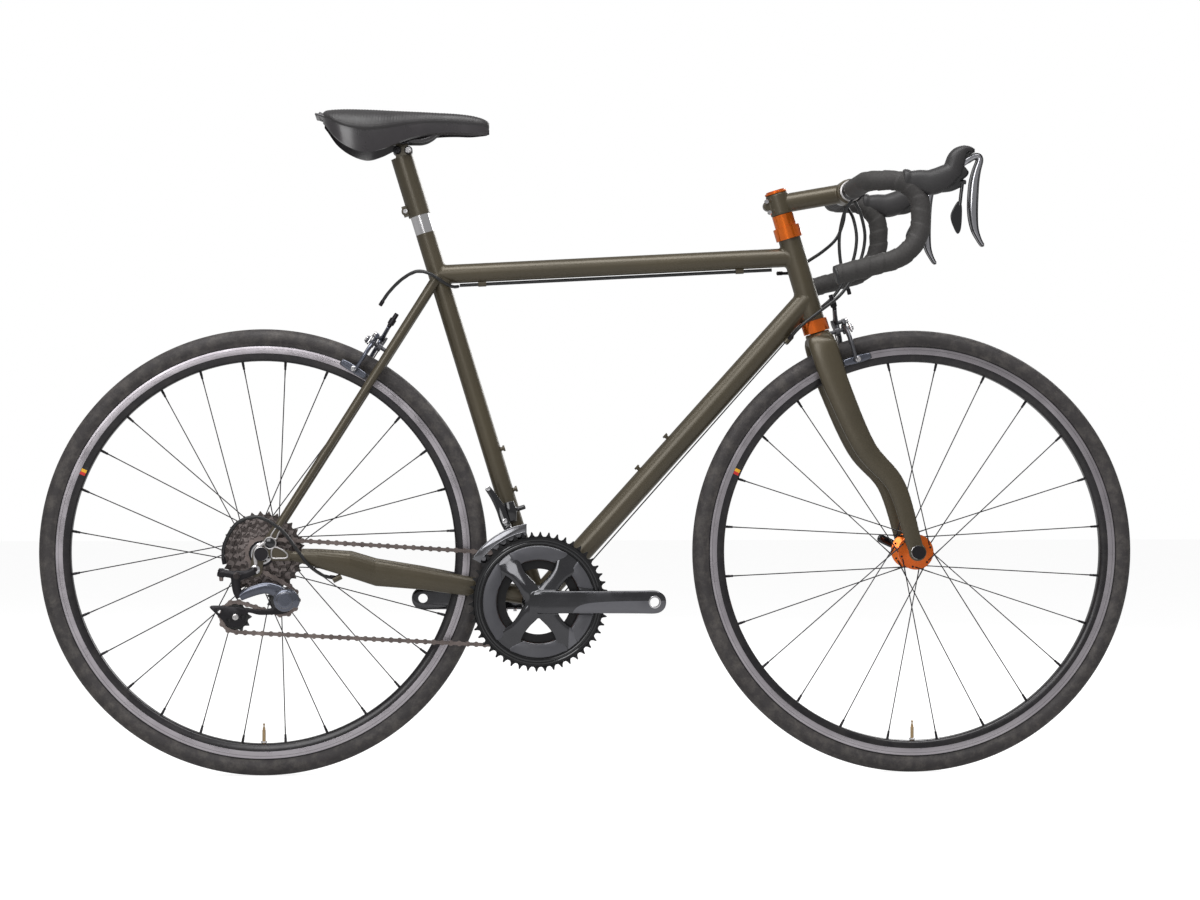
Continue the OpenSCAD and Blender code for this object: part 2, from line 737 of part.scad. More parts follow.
// An outer link: two plates pressed on two pins. An inner link: two plates on two bushes.
plate_t = 0.8;
module chain_link(p, q, inner) {
    v = q - p;
    l = norm(v);
    lean = inner ? 1.2 : 2.1;
    hole = inner ? 1.85 : 0;
    translate(p) rotate([0, -atan2(v.z, v.x), 0]) rotate([0, 0, asin(v.y / l)]) difference() {
        union() {
            for (y = [-lean - plate_t, lean]) plate(y, y + plate_t) {
                for (x = [0, l]) translate([x, 0]) circle(r = 4, $fn = 16);
                translate([0, -2.5]) square([l, 5]);
            }
            for (x = [0, l]) translate([x, 0, 0])
                y_rod(inner ? roller_r : 1.75, -lean - plate_t / 2, lean + plate_t / 2);
        }
        if (inner) for (x = [0, l]) translate([x, 0, 0]) y_rod(hole, -4, 4);
    }
}
module chain() {
    color(steel) for (k = [0:chain_links - 1])
        chain_link(chain_pin(k), chain_pin((k + 1) % chain_links), k % 2 == 0);
}
crank_in = 53;
crank_foot_in = 61;
crank_t = 12;
crank_end_r = 17.4;
spider_angles = [52, 128, 232, 308];
ring_bolt_r = 55;
module crank_arm(length) {
    foot = [length, 0, 0];
    difference() {
        hull() {
            y_rod(21, crank_in, crank_in + crank_t);
            translate(foot) y_rod(crank_end_r, crank_foot_in, crank_foot_in + crank_t);
        }
        translate(foot) y_rod(pedal_hole_r, 0, 100);
        y_rod(crank_axle_r, 0, crank_in + 2);
    }
}
module right_crank() {
    color(anthracite) translate(bb) {
        mirror([0, 1, 0]) crank_arm(crank_l);
        y_rod(crank_axle_r, -crank_in - 2, crank_in - 1);
        plate(-crank_in, big_ring_y - 1) difference() {
            union() {
                circle(r = 26);
                for (a = spider_angles) strap2([0, 0], 66 * [cos(a), sin(a)], 15, 12);
            }
            circle(r = crank_axle_r);
            for (a = spider_angles) translate(ring_bolt_r * [cos(a), sin(a)]) circle(r = 4.1);
        }
    }
}
module left_crank() {
    color(anthracite) translate(bb) {
        crank_arm(-crank_l);
        difference() {
            y_rod(16, bb_shell_w / 2 + 10.5, crank_in);
            y_rod(crank_axle_r, 0, 100);
        }
    }
}
module chainrings() {
    color(anthracite) translate(bb) {
        translate([0, big_ring_y, 0]) toothed(big_teeth, 3, 2, 66, 2.4);
        for (a = spider_angles) rotate([0, -a, 0]) difference() {
            plate(big_ring_y - 1, big_ring_y + 1) translate([45, -10]) square([24, 20]);
            translate([ring_bolt_r, 0, 0]) y_rod(4.1, -60, 0);
        }
    }
    color(black) translate(bb) {
        translate([0, small_ring_y, 0]) toothed(small_teeth, stop_phase(0), 1.6, 49);
        for (a = spider_angles) rotate([0, -a, 0]) translate([ring_bolt_r, 0, 0]) {
            y_rod(4, -crank_in, small_ring_y);
            y_rod(6, big_ring_y + 1.1, small_ring_y - 0.9);
        }
    }
}

// --- Wheels ---
front_flanges = [-36, 36];
rear_flanges = [-17, 36];
front_flange_r = 26.8;
rear_flange_r = 26;
hole_inset = 4;
module hub(flanges, flange_r, y_end, body_r) {
    difference() {
        union() {
            for (y = flanges) y_rod(flange_r, y - 1.6, y + 1.6);
            y_rod(body_r, flanges[0], flanges[1]);
            y_rod(body_r - 2, y_end[0], y_end[1]);
        }
        y_rod(axle_r + fit, -80, 80);
    }
}
module front_hub() {
    color(orange) translate(front_axle_at) hub(front_flanges, front_flange_r, [-44, 44], 13);
}
module rear_hub() {
    color(black) translate(rear_axle_at) hub(rear_flanges, rear_flange_r, [-19.4, 58], 15);
}
// Crossed spokes: each pair leans forwards and backwards from its flange to the rim.
module spokes(count, flanges, flange_r, crossing) {
    half = count / 2;
    step = 360 / half;
    for (side = [0, 1]) for (i = [0:half - 1]) {
        lean = i % 2 == 0 ? 1 : -1;
        a_rim = (i + 0.25 + side / 2) * step;
        a_hub = a_rim + lean * crossing;
        y = flanges[side] + lean * (1.6 + spoke_r + 0.1);
        hub_end = [(flange_r - hole_inset) * cos(a_hub), y, (flange_r - hole_inset) * sin(a_hub)];
        u = [cos(a_rim), 0, sin(a_rim)];
        rim_end = u * (rim_r - rim_depth + 2) + [0, 0.06 * y, 0];
        rod(hub_end, rim_end, spoke_r);
        rod(hub_end + (rim_end - hub_end) * 0.955, rim_end, 1.9);
    }
}
module front_spokes() {
    color(black) translate(front_axle_at)
        spokes(front_spoke_count, front_flanges, front_flange_r, 70);
}
module rear_spokes() {
    color(black) translate(rear_axle_at)
        spokes(rear_spoke_count, rear_flanges, rear_flange_r, 74);
}
// Half section of the rim, from its spoke bed out to the hooks, X is radius and Y is width.
module rim_section() {
    wall = 1.6;
    half = rim_w / 2;
    bed = rim_r - rim_depth;
    well = rim_r - 9;
    difference() {
        polygon([[bed, -4], [bed + 7, -half], [rim_r, -half], [rim_r, half], [bed + 7, half], [bed, 4]]);
        polygon([
            [bed + wall, -3], [bed + 8, wall - half], [well - wall, wall - half],
            [well - wall, half - wall], [bed + 8, half - wall], [bed + wall, 3],
        ]);
        translate([well, wall - half]) square([20, rim_w - 2 * wall]);
    }
}
module wheel_ring() {
    rotate([90, 0, 0]) rotate_extrude($fn = 96) children();
}
module rim() {
    wheel_ring() rim_section();
}
module tyre() {
    tread_r = tyre_w / 2;
    mid = wheel_r - tread_r;
    wheel_ring() difference() {
        union() {
            translate([mid, 0]) circle(r = tread_r);
            translate([rim_r - 8, 2 - rim_w / 2]) square([8, rim_w - 4]);
        }
        translate([mid, 0]) circle(r = tread_r - 2);
        translate([rim_r - 10, 3.6 - rim_w / 2]) square([14, rim_w - 7.2]);
        difference() {
            translate([rim_r - 20, -40]) square([20.2, 80]);
            translate([rim_r - 20, 2 - rim_w / 2]) square([30, rim_w - 4]);
        }
    }
    // Valve of the inner tube, through the rim
    translate([0, 0, -rim_r + 6]) cylinder(h = rim_depth + 22, r = 3);
}
module front_rim() {
    color(black) translate(front_axle_at) difference() {
        rim();
        translate([0, 0, -rim_r]) cylinder(h = 60, r = 3.1);
    }
}
module rear_rim() {
    color(black) translate(rear_axle_at) difference() {
        rim();
        translate([0, 0, -rim_r]) cylinder(h = 60, r = 3.1);
    }
}
module front_tyre() {
    color(rubber) translate(front_axle_at) tyre();
}
module rear_tyre() {
    color(rubber) translate(rear_axle_at) tyre();
}

// --- Axles and quick releases ---
qr_pin_r = 2;
front_half = 50;
module axle(half, thick) {
    out = half + thick;
    y_rod(axle_r, -out + 1, out + 6);
    y_rod(2.5, -out - 4, out);
    y_rod(10, -out - 11, -out);
    for (y = [-half, half - 2]) y_rod(8.5, y, y + 2);
    y_rod(9, out, out + 8);
    translate([0, out + 16, 0]) rotate([0, qr_turn, 0]) {
        cylinder(h = 15, r = qr_pin_r, center = true);
        for (z = [-6.5, 4]) translate([0, 0, z]) {
            cylinder(h = 2.5, r = 5.5);
            translate([-5.5, -10, 0]) cube([11, 10, 2.5]);
        }
    }
}
qr_turn = 25;
module front_axle() {
    color(black) translate(front_axle_at) axle(front_half, fork_tip_t);
}
fork_tip_t = 7;
module rear_axle() {
    color(black) translate(rear_axle_at) axle(rear_half, dropout_t);
}
module qr_lever(out) {
    translate([0, out + 16, 0]) rotate([0, qr_turn, 0]) difference() {
        union() {
            cylinder(h = 6.4, r = 5.5, center = true);
            translate([-46, 0, -3.2]) cube([44, 5, 6.4]);
            translate([-46, 2.5, 0]) cylinder(h = 6.4, r = 5, center = true);
        }
        cylinder(h = 20, r = qr_pin_r + fit, center = true);
    }
}
module front_qr_lever() {
    color(black) translate(front_axle_at) qr_lever(front_half + fork_tip_t);
}
module rear_qr_lever() {
    color(black) translate(rear_axle_at) qr_lever(rear_half + dropout_t);
}

// --- Fork and cockpit ---
module blade_slice(at, half_w, half_l) {
    translate(at) linear_extrude(0.5) scale([half_l / half_w, 1]) circle(r = half_w, $fn = 32);
}
crown_low = steer_pt(crown_top - 26);
blade_y = 28;
tip_y = front_half + fork_tip_t / 2;
module fork_blade() {
    hull() {
        blade_slice([crown_low.x + 1, blade_y, crown_low.z], 9, 21);
        blade_slice([crown_low.x + 60, 43, crown_low.z - 140], 9, 18);
    }
    hull() {
        blade_slice([crown_low.x + 60, 43, crown_low.z - 140], 9, 18);
        blade_slice(front_axle_at + [-5, tip_y, 12], 3.4, 10);
    }
}
module fork() {
    color(olive) difference() {
        union() {
            both_sides() fork_blade();
            both_sides() hull() {
                on_steer(crown_top - 12) cylinder(h = 11.9, r = cup_r - 2, $fn = 32);
                blade_slice([crown_low.x + 1, blade_y, crown_low.z], 9, 21);
            }
            on_steer(crown_top - 1) cylinder(h = stem_low + stem_clamp_h - crown_top + 1, r = steerer_r);
            both_sides() translate(front_axle_at) y_rod(13.5, front_half, front_half + fork_tip_t);
        }
        on_steer(crown_top + 20) cylinder(h = 300, r = steerer_r - 1.6);
        translate(front_axle_at) {
            y_rod(axle_r, -90, 90);
            translate([-axle_r, -90, -30]) cube([2 * axle_r, 180, 30]);
        }
        on_front_brake() x_rod(brake_bolt_r, -90, 0);
    }
}
module headset_spacers() {
    color(orange) {
        steer_ring(stem_low - spacer_h, spacer_h, 16.2, steerer_r);
        on_steer(stem_low + stem_clamp_h) difference() {
            cylinder(h = 5, r = 14.5);
            cylinder(h = 20, r = 3, center = true);
        }
    }
}
module stem() {
    color(olive) difference() {
        union() {
            on_steer(stem_low) cylinder(h = stem_clamp_h, r = stem_clamp_r);
            on_steer(stem_low + 2) translate([-24, -5, 0]) cube([12, 10, stem_clamp_h - 4]);
            hull() {
                translate(steer_pt(stem_mid) + [12, 0, 1]) rotate([0, 90 - stem_rise, 0])
                    cylinder(h = 2, r = 13.5, $fn = 32);
                translate(bar_at) rotate([0, -90 - stem_rise, 0]) cylinder(h = 14, r = 15, $fn = 32);
            }
            translate(bar_at) y_rod(bar_clamp_r + 4, -22, 22);
        }
        on_steer(stem_low - 1) cylinder(h = stem_clamp_h + 2, r = steerer_r);
        on_steer(stem_low - 1) translate([-30, -1, 0]) cube([20, 2, stem_clamp_h + 2]);
        translate(bar_at) {
            y_rod(bar_clamp_r, -40, 40);
            rotate([0, -stem_rise, 0]) translate([1, -40, -40]) cube([50, 80, 80]);
        }
    }
}
module stem_hardware() {
    color(olive) translate(bar_at) rotate([0, -stem_rise, 0]) difference() {
        y_rod(bar_clamp_r + 4, -22, 22);
        y_rod(bar_clamp_r, -40, 40);
        translate([-48.6, -40, -40]) cube([50, 80, 80]);
    }
    color(black) {
        for (t = [9, 24]) on_steer(stem_low + t) translate([-19.6, -8, 0]) rotate([-90, 0, 0])
            cylinder(h = 3, r = 3);
        on_steer(stem_low + stem_clamp_h - 12) cylinder(h = 20, r = 3);
        for (y = [-15, 15]) for (z = [-18.4, 18.4]) translate(bar_at) rotate([0, -stem_rise, 0])
            translate([12, y, z]) rotate([0, 90, 0]) cylinder(h = 4, r = 3.4);
    }
}

// The bar on its left side: out along Y, forward, over the bend and back along the drop.
bend_side = 35;
bend_top = 42;
bend_low = 60;
drop_straight = 17;
drop_sweep = 75;
drop_tail = 80;
bend_seam = 0.03;
half_bar = bar_w / 2;
// A bend of a round bar, in the plane where it starts at +X and turns to +Y.
module bend(radius, degrees, r) {
    rotate_extrude(angle = degrees, $fn = 64) translate([radius, 0]) circle(r = r, $fn = 32);
}
low_at = bar_at + [bend_side + bend_top - bend_low, half_bar, -bend_top - drop_straight];
tail_at = low_at + bend_low * [cos(-drop_sweep), 0, sin(-drop_sweep)];
tail_end = tail_at + drop_tail * [-sin(drop_sweep), 0, -cos(drop_sweep)];
module bar_side(r, y_start) {
    rod(bar_at + [0, y_start, 0], bar_at + [0, half_bar - bend_side, 0], r);
    translate(bar_at + [bend_side, half_bar - bend_side, 0]) rotate([0, 0, 90]) bend(bend_side, 90, r);
    translate(bar_at + [bend_side, half_bar, -bend_top]) rotate([90, 0, 0]) bend(bend_top, 90, r);
    rod(bar_at + [bend_side + bend_top, half_bar, -bend_top],
        bar_at + [bend_side + bend_top, half_bar, -bend_top - drop_straight], r);
    translate(low_at) rotate([-90, 0, 0]) bend(bend_low, drop_sweep, r);
    translate(tail_at) sphere(r = r + bend_seam);
    rod(tail_at, tail_end, r);
}
module handlebar() {
    color(black) difference() {
        union() {
            both_sides() bar_side(bar_r, 40);
            translate(bar_at) y_rod(bar_clamp_r, -26, 26);
            both_sides() rod(bar_at + [0, 26, 0], bar_at + [0, 44, 0], bar_clamp_r, bar_r);
        }
        both_sides() bar_side(bar_r - 2, 0);
        both_sides() rod(tail_at, tail_end + (tail_end - tail_at) / 40, bar_r - 2);
    }
}
module bar_tape() {
    plug = (tail_end - tail_at) / drop_tail;
    color(black) both_sides() {
        difference() {
            bar_side(bar_r + tape_t, tape_start);
            bar_side(bar_r, tape_start - 1);
            rod(tail_at, tail_end + plug, bar_r);
        }
        rod(tail_end, tail_end + plug * 4, bar_r + tape_t);
        rod(tail_end - plug * 14, tail_end, bar_r - 2.1);
    }
}
tape_start = 66;
// Outlines in X and Z from the middle of the bar clamp.
hood_outline = [
    [46, -8], [54, 11], [98, 20], [112, 27], [116, 38], [118, 48], [127, 54], [144, 51], [158, 43], [148, 37],
    [139, 26], [141, 8], [138, 0], [90, -25], [74, -30],
];
lever_slot = [[118, -40], [175, -40], [175, 46], [146, 42], [132, 34], [118, 30]];
lever_outline = [
    [150, 30], [152, 37], [159, 39], [163, 33], [157, 14], [156, -30], [158, -64], [167, -91], [164, -95],
    [154, -74], [151, -30], [151, 12],
];
lever_pivot = [133, 22];
paddle_outline = [[131, -30], [121, -46], [123, -62], [131, -75], [136, -62], [136, -30]];
paddle_pin_z = -2;
module at_side(side) {
    translate([bar_at.x, side * half_bar, bar_at.z]) children();
}
module brake_hoods() {
    color(rubber) for (side = [-1, 1]) difference() {
        at_side(side) {
            difference() {
                plate(-18, 18) polygon(hood_outline);
                plate(-5.6, 5.6) polygon(lever_slot);
            }
            translate([lever_pivot.x, 0, lever_pivot.y]) y_rod(2.5, -8, 8);
        }
        both_sides() bar_side(bar_r + tape_t + 0.1, tape_start);
    }
}
module brake_lever(side) {
    color(black) at_side(side) {
        difference() {
            plate(-4.5, 4.5) {
                strap2(lever_pivot, [157, 34], 6.5, 4);
                polygon(lever_outline);
            }
            translate([lever_pivot.x, 0, lever_pivot.y]) y_rod(2.5 + fit, -10, 10);
        }
        translate([127, 0, paddle_pin_z]) rotate([0, 90, 0]) cylinder(h = 26, r = 1.5);
        translate([126, 0, paddle_pin_z]) rotate([0, 90, 0]) cylinder(h = 2.5, r = 3);
    }
}
module shift_paddle(side) {
    color(black) at_side(side) difference() {
        union() {
            translate([129, 0, paddle_pin_z]) rotate([0, 90, 0]) cylinder(h = 14, r = 3.6);
            plate(-1.5, 1.5) {
                polygon(paddle_outline);
                translate([130, -34]) square([5, 33]);
            }
        }
        translate([120, 0, paddle_pin_z]) rotate([0, 90, 0]) cylinder(h = 40, r = 1.5 + fit);
    }
}
module left_brake_lever() { brake_lever(1); }
module right_brake_lever() { brake_lever(-1); }
module left_shift_paddle() { shift_paddle(1); }
module right_shift_paddle() { shift_paddle(-1); }

// --- Brakes ---
// Drawn with the bolt along X, the arms in the plane of Y and Z, the rim below.
pivot_two = [0, 17, 12];
module on_front_brake() {
    translate(front_brake_at) rotate([0, head_angle - 90, 0]) children();
}
module on_rear_brake() {
    translate(rear_brake_at) rotate([0, stay_lean, 0]) mirror([1, 0, 0]) children();
}
module x_rod(r, x0, x1) {
    translate([x0, 0, 0]) rotate([0, 90, 0]) cylinder(h = x1 - x0, r = r);
}
module brake_mount(back) {
    x_rod(brake_bolt_r, -back, 15);
    x_rod(7, -8, -5.2);
    hull() {
        x_rod(7, -11, -8);
        translate(pivot_two) x_rod(6, -11, -8);
    }
    translate(pivot_two) x_rod(brake_bolt_r, -9, 7);
    x_rod(6, 12, 15);
}
module front_brake_mount() {
    color(anthracite) on_front_brake() brake_mount(45);
}
module rear_brake_mount() {
    color(anthracite) on_rear_brake() brake_mount(24);
}
// One arm: from its pivot out and down past the tyre to the pad beside the rim.
module brake_arm(pivot, x0, x1, side, horn) {
    shoulder = [side * 30, -18];
    foot = [side * (arm_y + pad_t + 3), -brake_reach];
    difference() {
        union() {
            rotate([90, 0, 90]) translate([0, 0, x0]) linear_extrude(x1 - x0) {
                strap2(pivot, shoulder, 7, 7);
                strap2(shoulder, foot, 7, 6);
                strap2(pivot, horn, 7, 4.5);
            }
            translate([x0 - 12, side > 0 ? arm_y : -arm_y - pad_t, -brake_reach - 6])
                cube([pad_l * 0.75, pad_t, 12]);
            translate([x0, side > 0 ? arm_y + 3 : -arm_y - pad_t - 6, -brake_reach - 6])
                cube([x1 - x0, pad_t, 12]);
        }
        translate([0, pivot.x, pivot.y]) x_rod(brake_bolt_r + fit, -60, 60);
    }
}
module left_arm() {
    brake_arm([pivot_two.y, pivot_two.z], -7, -0.5, 1, [-12, 34]);
    translate([-3.5, -12, 34]) cylinder(h = 22, r = 4);
}
module right_arm() {
    brake_arm([0, 0], 0.5, 7, -1, [-22, 12]);
}
module front_brake_left_arm() { color(silver) on_front_brake() left_arm(); }
module front_brake_right_arm() { color(silver) on_front_brake() right_arm(); }
module rear_brake_left_arm() { color(silver) on_rear_brake() left_arm(); }
module rear_brake_right_arm() { color(silver) on_rear_brake() right_arm(); }

// --- Seat ---
topper_low = 606;
topper_wall = 2.4;
topper_r = seat_tube_r + fit + topper_wall;
topper_top = mast_h + 26;
rail_y = 22;
rail_r = 3.5;
rail_at = seat_pt(topper_top) + [0, 0, rail_rise - 18];
module mast_topper() {
    color(olive) difference() {
        union() {
            on_seat(topper_low) cylinder(h = topper_top - topper_low, r = topper_r);
            on_seat(topper_low + 4) translate([-topper_r - 6, -7, 0]) cube([12, 14, 16]);
            translate(rail_at + [-9, -14, -32]) cube([18, 28, 28]);
        }
        on_seat(topper_low - 1) cylinder(h = mast_h - topper_low + 24, r = seat_tube_r + fit);
        on_seat(topper_low - 1) translate([-topper_r - 10, -1, 0]) cube([20, 2, 46]);
        on_seat(topper_low + 12) translate([-topper_r - 2, 0, 0]) rotate([90, 0, 0])
            cylinder(h = 30, r = 2.5, center = true);
        translate(rail_at) y_rod(10, -40, 40);
        rail_bolts();
    }
}
module rail_bolts() {
    for (x = [-8, 8]) translate(rail_at + [x, 0, -36]) cylinder(h = 12, r = 4);
}
module saddle_clamp() {
    color(black) {
        translate(rail_at) difference() {
            y_rod(10, -30, 30);
            for (y = [-rail_y, rail_y]) translate([-40, y, -5]) rotate([0, 90, 0]) cylinder(h = 80, r = rail_r);
        }
        on_seat(topper_low + 12) translate([-topper_r - 2, 0, 0]) rotate([90, 0, 0])
            cylinder(h = 20, r = 2.5, center = true);
        rail_bolts();
    }
}
saddle_back = rail_at.x - 131;
saddle_top_z = rail_at.z + 42;
module saddle_rails() {
    z = rail_at.z - 5;
    pts = [
        [saddle_back + 20, 32, z + 25], [rail_at.x - 74, 28, z + 15], [rail_at.x - 48, rail_y, z],
        [rail_at.x - 30, rail_y, z], [rail_at.x + 14, rail_y, z], [rail_at.x + 28, rail_y, z],
        [rail_at.x + 52, 14, z + 7], [rail_at.x + 100, 9, z + 20],
    ];
    color(black) both_sides() cord(curve(pts, 3), rail_r, 10);
}
// Plan of the saddle: wide tail, narrow nose.
module saddle_plan(inset) {
    hull() {
        for (s = [-1, 1]) translate([28, s * (saddle_w / 2 - 26)]) circle(r = 26 - inset);
        translate([90, 0]) circle(r = 44 - inset);
    }
    hull() {
        translate([90, 0]) circle(r = 44 - inset);
        translate([saddle_l - 20, 0]) circle(r = 19 - inset);
    }
}
module saddle_shell() {
    color(black) translate([saddle_back, 0, saddle_top_z - 20]) linear_extrude(6) saddle_plan(5);
}
module saddle_cover() {
    color(rubber) translate([saddle_back, 0, saddle_top_z - 14]) linear_extrude(14) saddle_plan(1);
}

seat_tube();
top_tube();
down_tube();
head_tube();
bb_shell();
chain_stays();
seat_stays();
dropouts();
bearing_cups();
frame_fittings();
frame_cables();
bar_housings();
front_mech_body();
mech_hanger_link();
rear_axle();
chain();
rear_brake_mount();
mast_topper();
saddle_clamp();
saddle_rails();
saddle_shell();
saddle_cover();
fork();
headset_spacers();
stem();
stem_hardware();
handlebar();
bar_tape();
brake_hoods();
front_axle();
front_brake_mount();
front_brake_housing();
front_hub();
front_spokes();
front_rim();
front_tyre();
rear_hub();
rear_spokes();
rear_rim();
rear_tyre();
cassette();
right_crank();
left_crank();
chainrings();
left_brake_lever();
right_brake_lever();
left_shift_paddle();
right_shift_paddle();
front_brake_left_arm();
front_brake_right_arm();
rear_brake_left_arm();
rear_brake_right_arm();
mech_outer_link();
mech_knuckle();
mech_cage();
guide_pulley();
tension_pulley();
front_mech_cage();
front_qr_lever();
rear_qr_lever();
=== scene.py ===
"""Looks of a road bicycle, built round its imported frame: +X forward, +Y to the rider's left, +Z up."""
import json
import math

import bmesh
import bpy
from mathutils import Matrix, Vector


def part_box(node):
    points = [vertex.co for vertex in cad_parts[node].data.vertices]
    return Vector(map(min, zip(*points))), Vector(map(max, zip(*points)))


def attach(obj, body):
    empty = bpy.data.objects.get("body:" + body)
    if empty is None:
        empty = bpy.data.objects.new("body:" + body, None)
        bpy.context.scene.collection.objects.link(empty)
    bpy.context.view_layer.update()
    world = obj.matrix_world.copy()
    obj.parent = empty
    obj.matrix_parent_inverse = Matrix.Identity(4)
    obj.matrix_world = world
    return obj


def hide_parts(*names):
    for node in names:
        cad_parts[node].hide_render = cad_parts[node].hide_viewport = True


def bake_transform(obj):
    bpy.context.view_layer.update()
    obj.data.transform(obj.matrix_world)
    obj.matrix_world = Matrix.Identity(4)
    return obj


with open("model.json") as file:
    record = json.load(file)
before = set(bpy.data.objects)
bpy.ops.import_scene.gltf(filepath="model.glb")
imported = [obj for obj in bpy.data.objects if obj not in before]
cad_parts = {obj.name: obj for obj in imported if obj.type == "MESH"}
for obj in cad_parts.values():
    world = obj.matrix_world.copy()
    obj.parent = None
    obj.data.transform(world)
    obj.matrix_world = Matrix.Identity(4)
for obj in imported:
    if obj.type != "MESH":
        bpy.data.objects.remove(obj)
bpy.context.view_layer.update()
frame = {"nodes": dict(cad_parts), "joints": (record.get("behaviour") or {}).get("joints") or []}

MM = 0.001


# ---------------------------------------------------------------- places read from the frame, in mm
def low_high(node):
    low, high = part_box(node)
    return low / MM, high / MM


def middle(node):
    low, high = low_high(node)
    return (low + high) / 2


def joint(name):
    return next(j for j in frame["joints"] if j["name"] == name)


def pivot(name):
    return Vector(joint(name)["pos_m"]) / MM


def level(point, y=0.0):
    """The point moved to that distance from the middle plane."""
    return Vector((point.x, y, point.z))


FRONT_AXLE = level(middle("front_tyre"))
REAR_AXLE = level(middle("rear_tyre"))
CRANK_AXLE = level(middle("bb_shell"))
GUIDE_AT = middle("guide_pulley")
TENSION_AT = middle("tension_pulley")
STEER_FOOT = pivot("steer")
STEER_UP = Vector(joint("steer")["axis"])
STEER_FORWARD = Vector((STEER_UP.z, 0, -STEER_UP.x))
SEAT_UP = Vector(joint("seat_height")["axis"])
SEAT_FORWARD = Vector((SEAT_UP.z, 0, -SEAT_UP.x))
WHEEL_R = (low_high("front_tyre")[1].z - low_high("front_tyre")[0].z) / 2
RIM_R = (low_high("front_rim")[1].x - low_high("front_rim")[0].x) / 2
BAR_HIGH = low_high("handlebar")[1]
BAR_AT = Vector((BAR_HIGH.x - 89.0, 0, BAR_HIGH.z - 15.9))
HALF_BAR = BAR_HIGH.y - 12.0
SADDLE_LOW, SADDLE_HIGH = low_high("saddle_cover")
SADDLE_BACK = SADDLE_LOW.x - 1.0
SADDLE_TOP = SADDLE_HIGH.z
RAIL_AHEAD = 131.0
RAIL_DROP = 42.0
RAIL_AT = Vector((SADDLE_BACK + RAIL_AHEAD, 0, SADDLE_TOP - RAIL_DROP))


def on_steer(up, ahead=0.0, y=0.0):
    """A point by its height along the steering axis and its distance ahead of it."""
    return STEER_FOOT + STEER_UP * up + STEER_FORWARD * ahead + Vector((0, y, 0))


def on_mast(up, ahead=0.0, y=0.0):
    """A point by its height along the seat tube and its distance ahead of it."""
    return CRANK_AXLE + SEAT_UP * up + SEAT_FORWARD * ahead + Vector((0, y, 0))


# ---------------------------------------------------------------- camera, floor and light
CAMERA_AT = (-0.235, -4.591, 0.487)
CAMERA_TURN = math.radians(-3.12)
CAMERA_TILT = math.radians(90.02)
LENS = 91.3
SENSOR_WIDTH = 36.0
FAR_CLIP = 50.0
HALF_FLOOR = 12.0
ROOM_LIGHT = 0.36
LAMPS = (
    ("overhead_softbox", (-0.2, -0.9, 2.9), (0, 0, 0.4), (3.4, 1.2), 70),
    ("front_softbox", (-1.2, -3.2, 2.0), (0, 0, 0.5), (1.6, 2.2), 45),
    ("rear_softbox", (1.6, 2.6, 2.0), (0, 0, 0.5), (1.8, 1.8), 45),
)


def linked(name, data):
    """A new object put in the scene."""
    made = bpy.data.objects.new(name, data)
    bpy.context.scene.collection.objects.link(made)
    return made


def make_camera():
    data = bpy.data.cameras.new("studio_camera")
    data.lens = LENS
    data.sensor_width = SENSOR_WIDTH
    data.clip_end = FAR_CLIP
    camera = linked("studio_camera", data)
    camera.location = CAMERA_AT
    camera.rotation_euler = (CAMERA_TILT, 0.0, CAMERA_TURN)
    bpy.context.scene.camera = camera


def soft_light(name, at, aim, size, power):
    data = bpy.data.lights.new(name, "AREA")
    data.shape = "RECTANGLE"
    data.size, data.size_y = size
    data.energy = power
    lamp = linked(name, data)
    lamp.location = at
    lamp.rotation_euler = (Vector(aim) - Vector(at)).to_track_quat("-Z", "Y").to_euler()


def make_studio():
    make_camera()
    for lamp in LAMPS:
        soft_light(*lamp)
    world = bpy.data.worlds.new("pale_room")
    world.use_nodes = True
    tree = world.node_tree
    back = tree.nodes["Background"]
    back.inputs["Color"].default_value = (1.0, 1.0, 1.0, 1.0)
    seen = node(tree, "ShaderNodeLightPath").outputs["Is Camera Ray"]
    wire(tree, spread(tree, seen, 0.0, 1.0, ROOM_LIGHT, 1.0), back.inputs["Strength"])
    bpy.context.scene.world = world
    bpy.context.scene.view_settings.view_transform = "Standard"


def make_floor():
    half = HALF_FLOOR
    mesh = bpy.data.meshes.new("studio_floor")
    corners = [(-half, -half, 0), (half, -half, 0), (half, half, 0), (-half, half, 0)]
    mesh.from_pydata(corners, [], [(0, 1, 2, 3)])
    floor = linked("studio_floor", mesh)
    mesh.materials.append(floor_finish())


# ---------------------------------------------------------------- shader wiring
def node(tree, kind, **settings):
    made = tree.nodes.new(kind)
    for key, value in settings.items():
        setattr(made, key, value)
    return made


def wire(tree, source, target):
    tree.links.new(source, target)


def effect(name, inputs, outputs):
    """A shader group with named sockets. Each socket is (name, type, value)."""
    group = bpy.data.node_groups.new(name, "ShaderNodeTree")
    for socket_name, kind, value in inputs:
        socket = group.interface.new_socket(socket_name, in_out="INPUT", socket_type=kind)
        socket.default_value = value
    for socket_name, kind in outputs:
        group.interface.new_socket(socket_name, in_out="OUTPUT", socket_type=kind)
    return group, node(group, "NodeGroupInput"), node(group, "NodeGroupOutput")


FLOAT = "NodeSocketFloat"
COLOUR = "NodeSocketColor"
VECTOR = "NodeSocketVector"


def mix_colours(tree, share, first, second, blend="MIX"):
    """Mixes two colours; each of the three may be a socket or a value."""
    mixer = node(tree, "ShaderNodeMix", data_type="RGBA", blend_type=blend)
    for socket, value in ((mixer.inputs[0], share), (mixer.inputs[6], first), (mixer.inputs[7], second)):
        if hasattr(value, "is_output"):
            wire(tree, value, socket)
        else:
            socket.default_value = value
    return mixer.outputs[2]


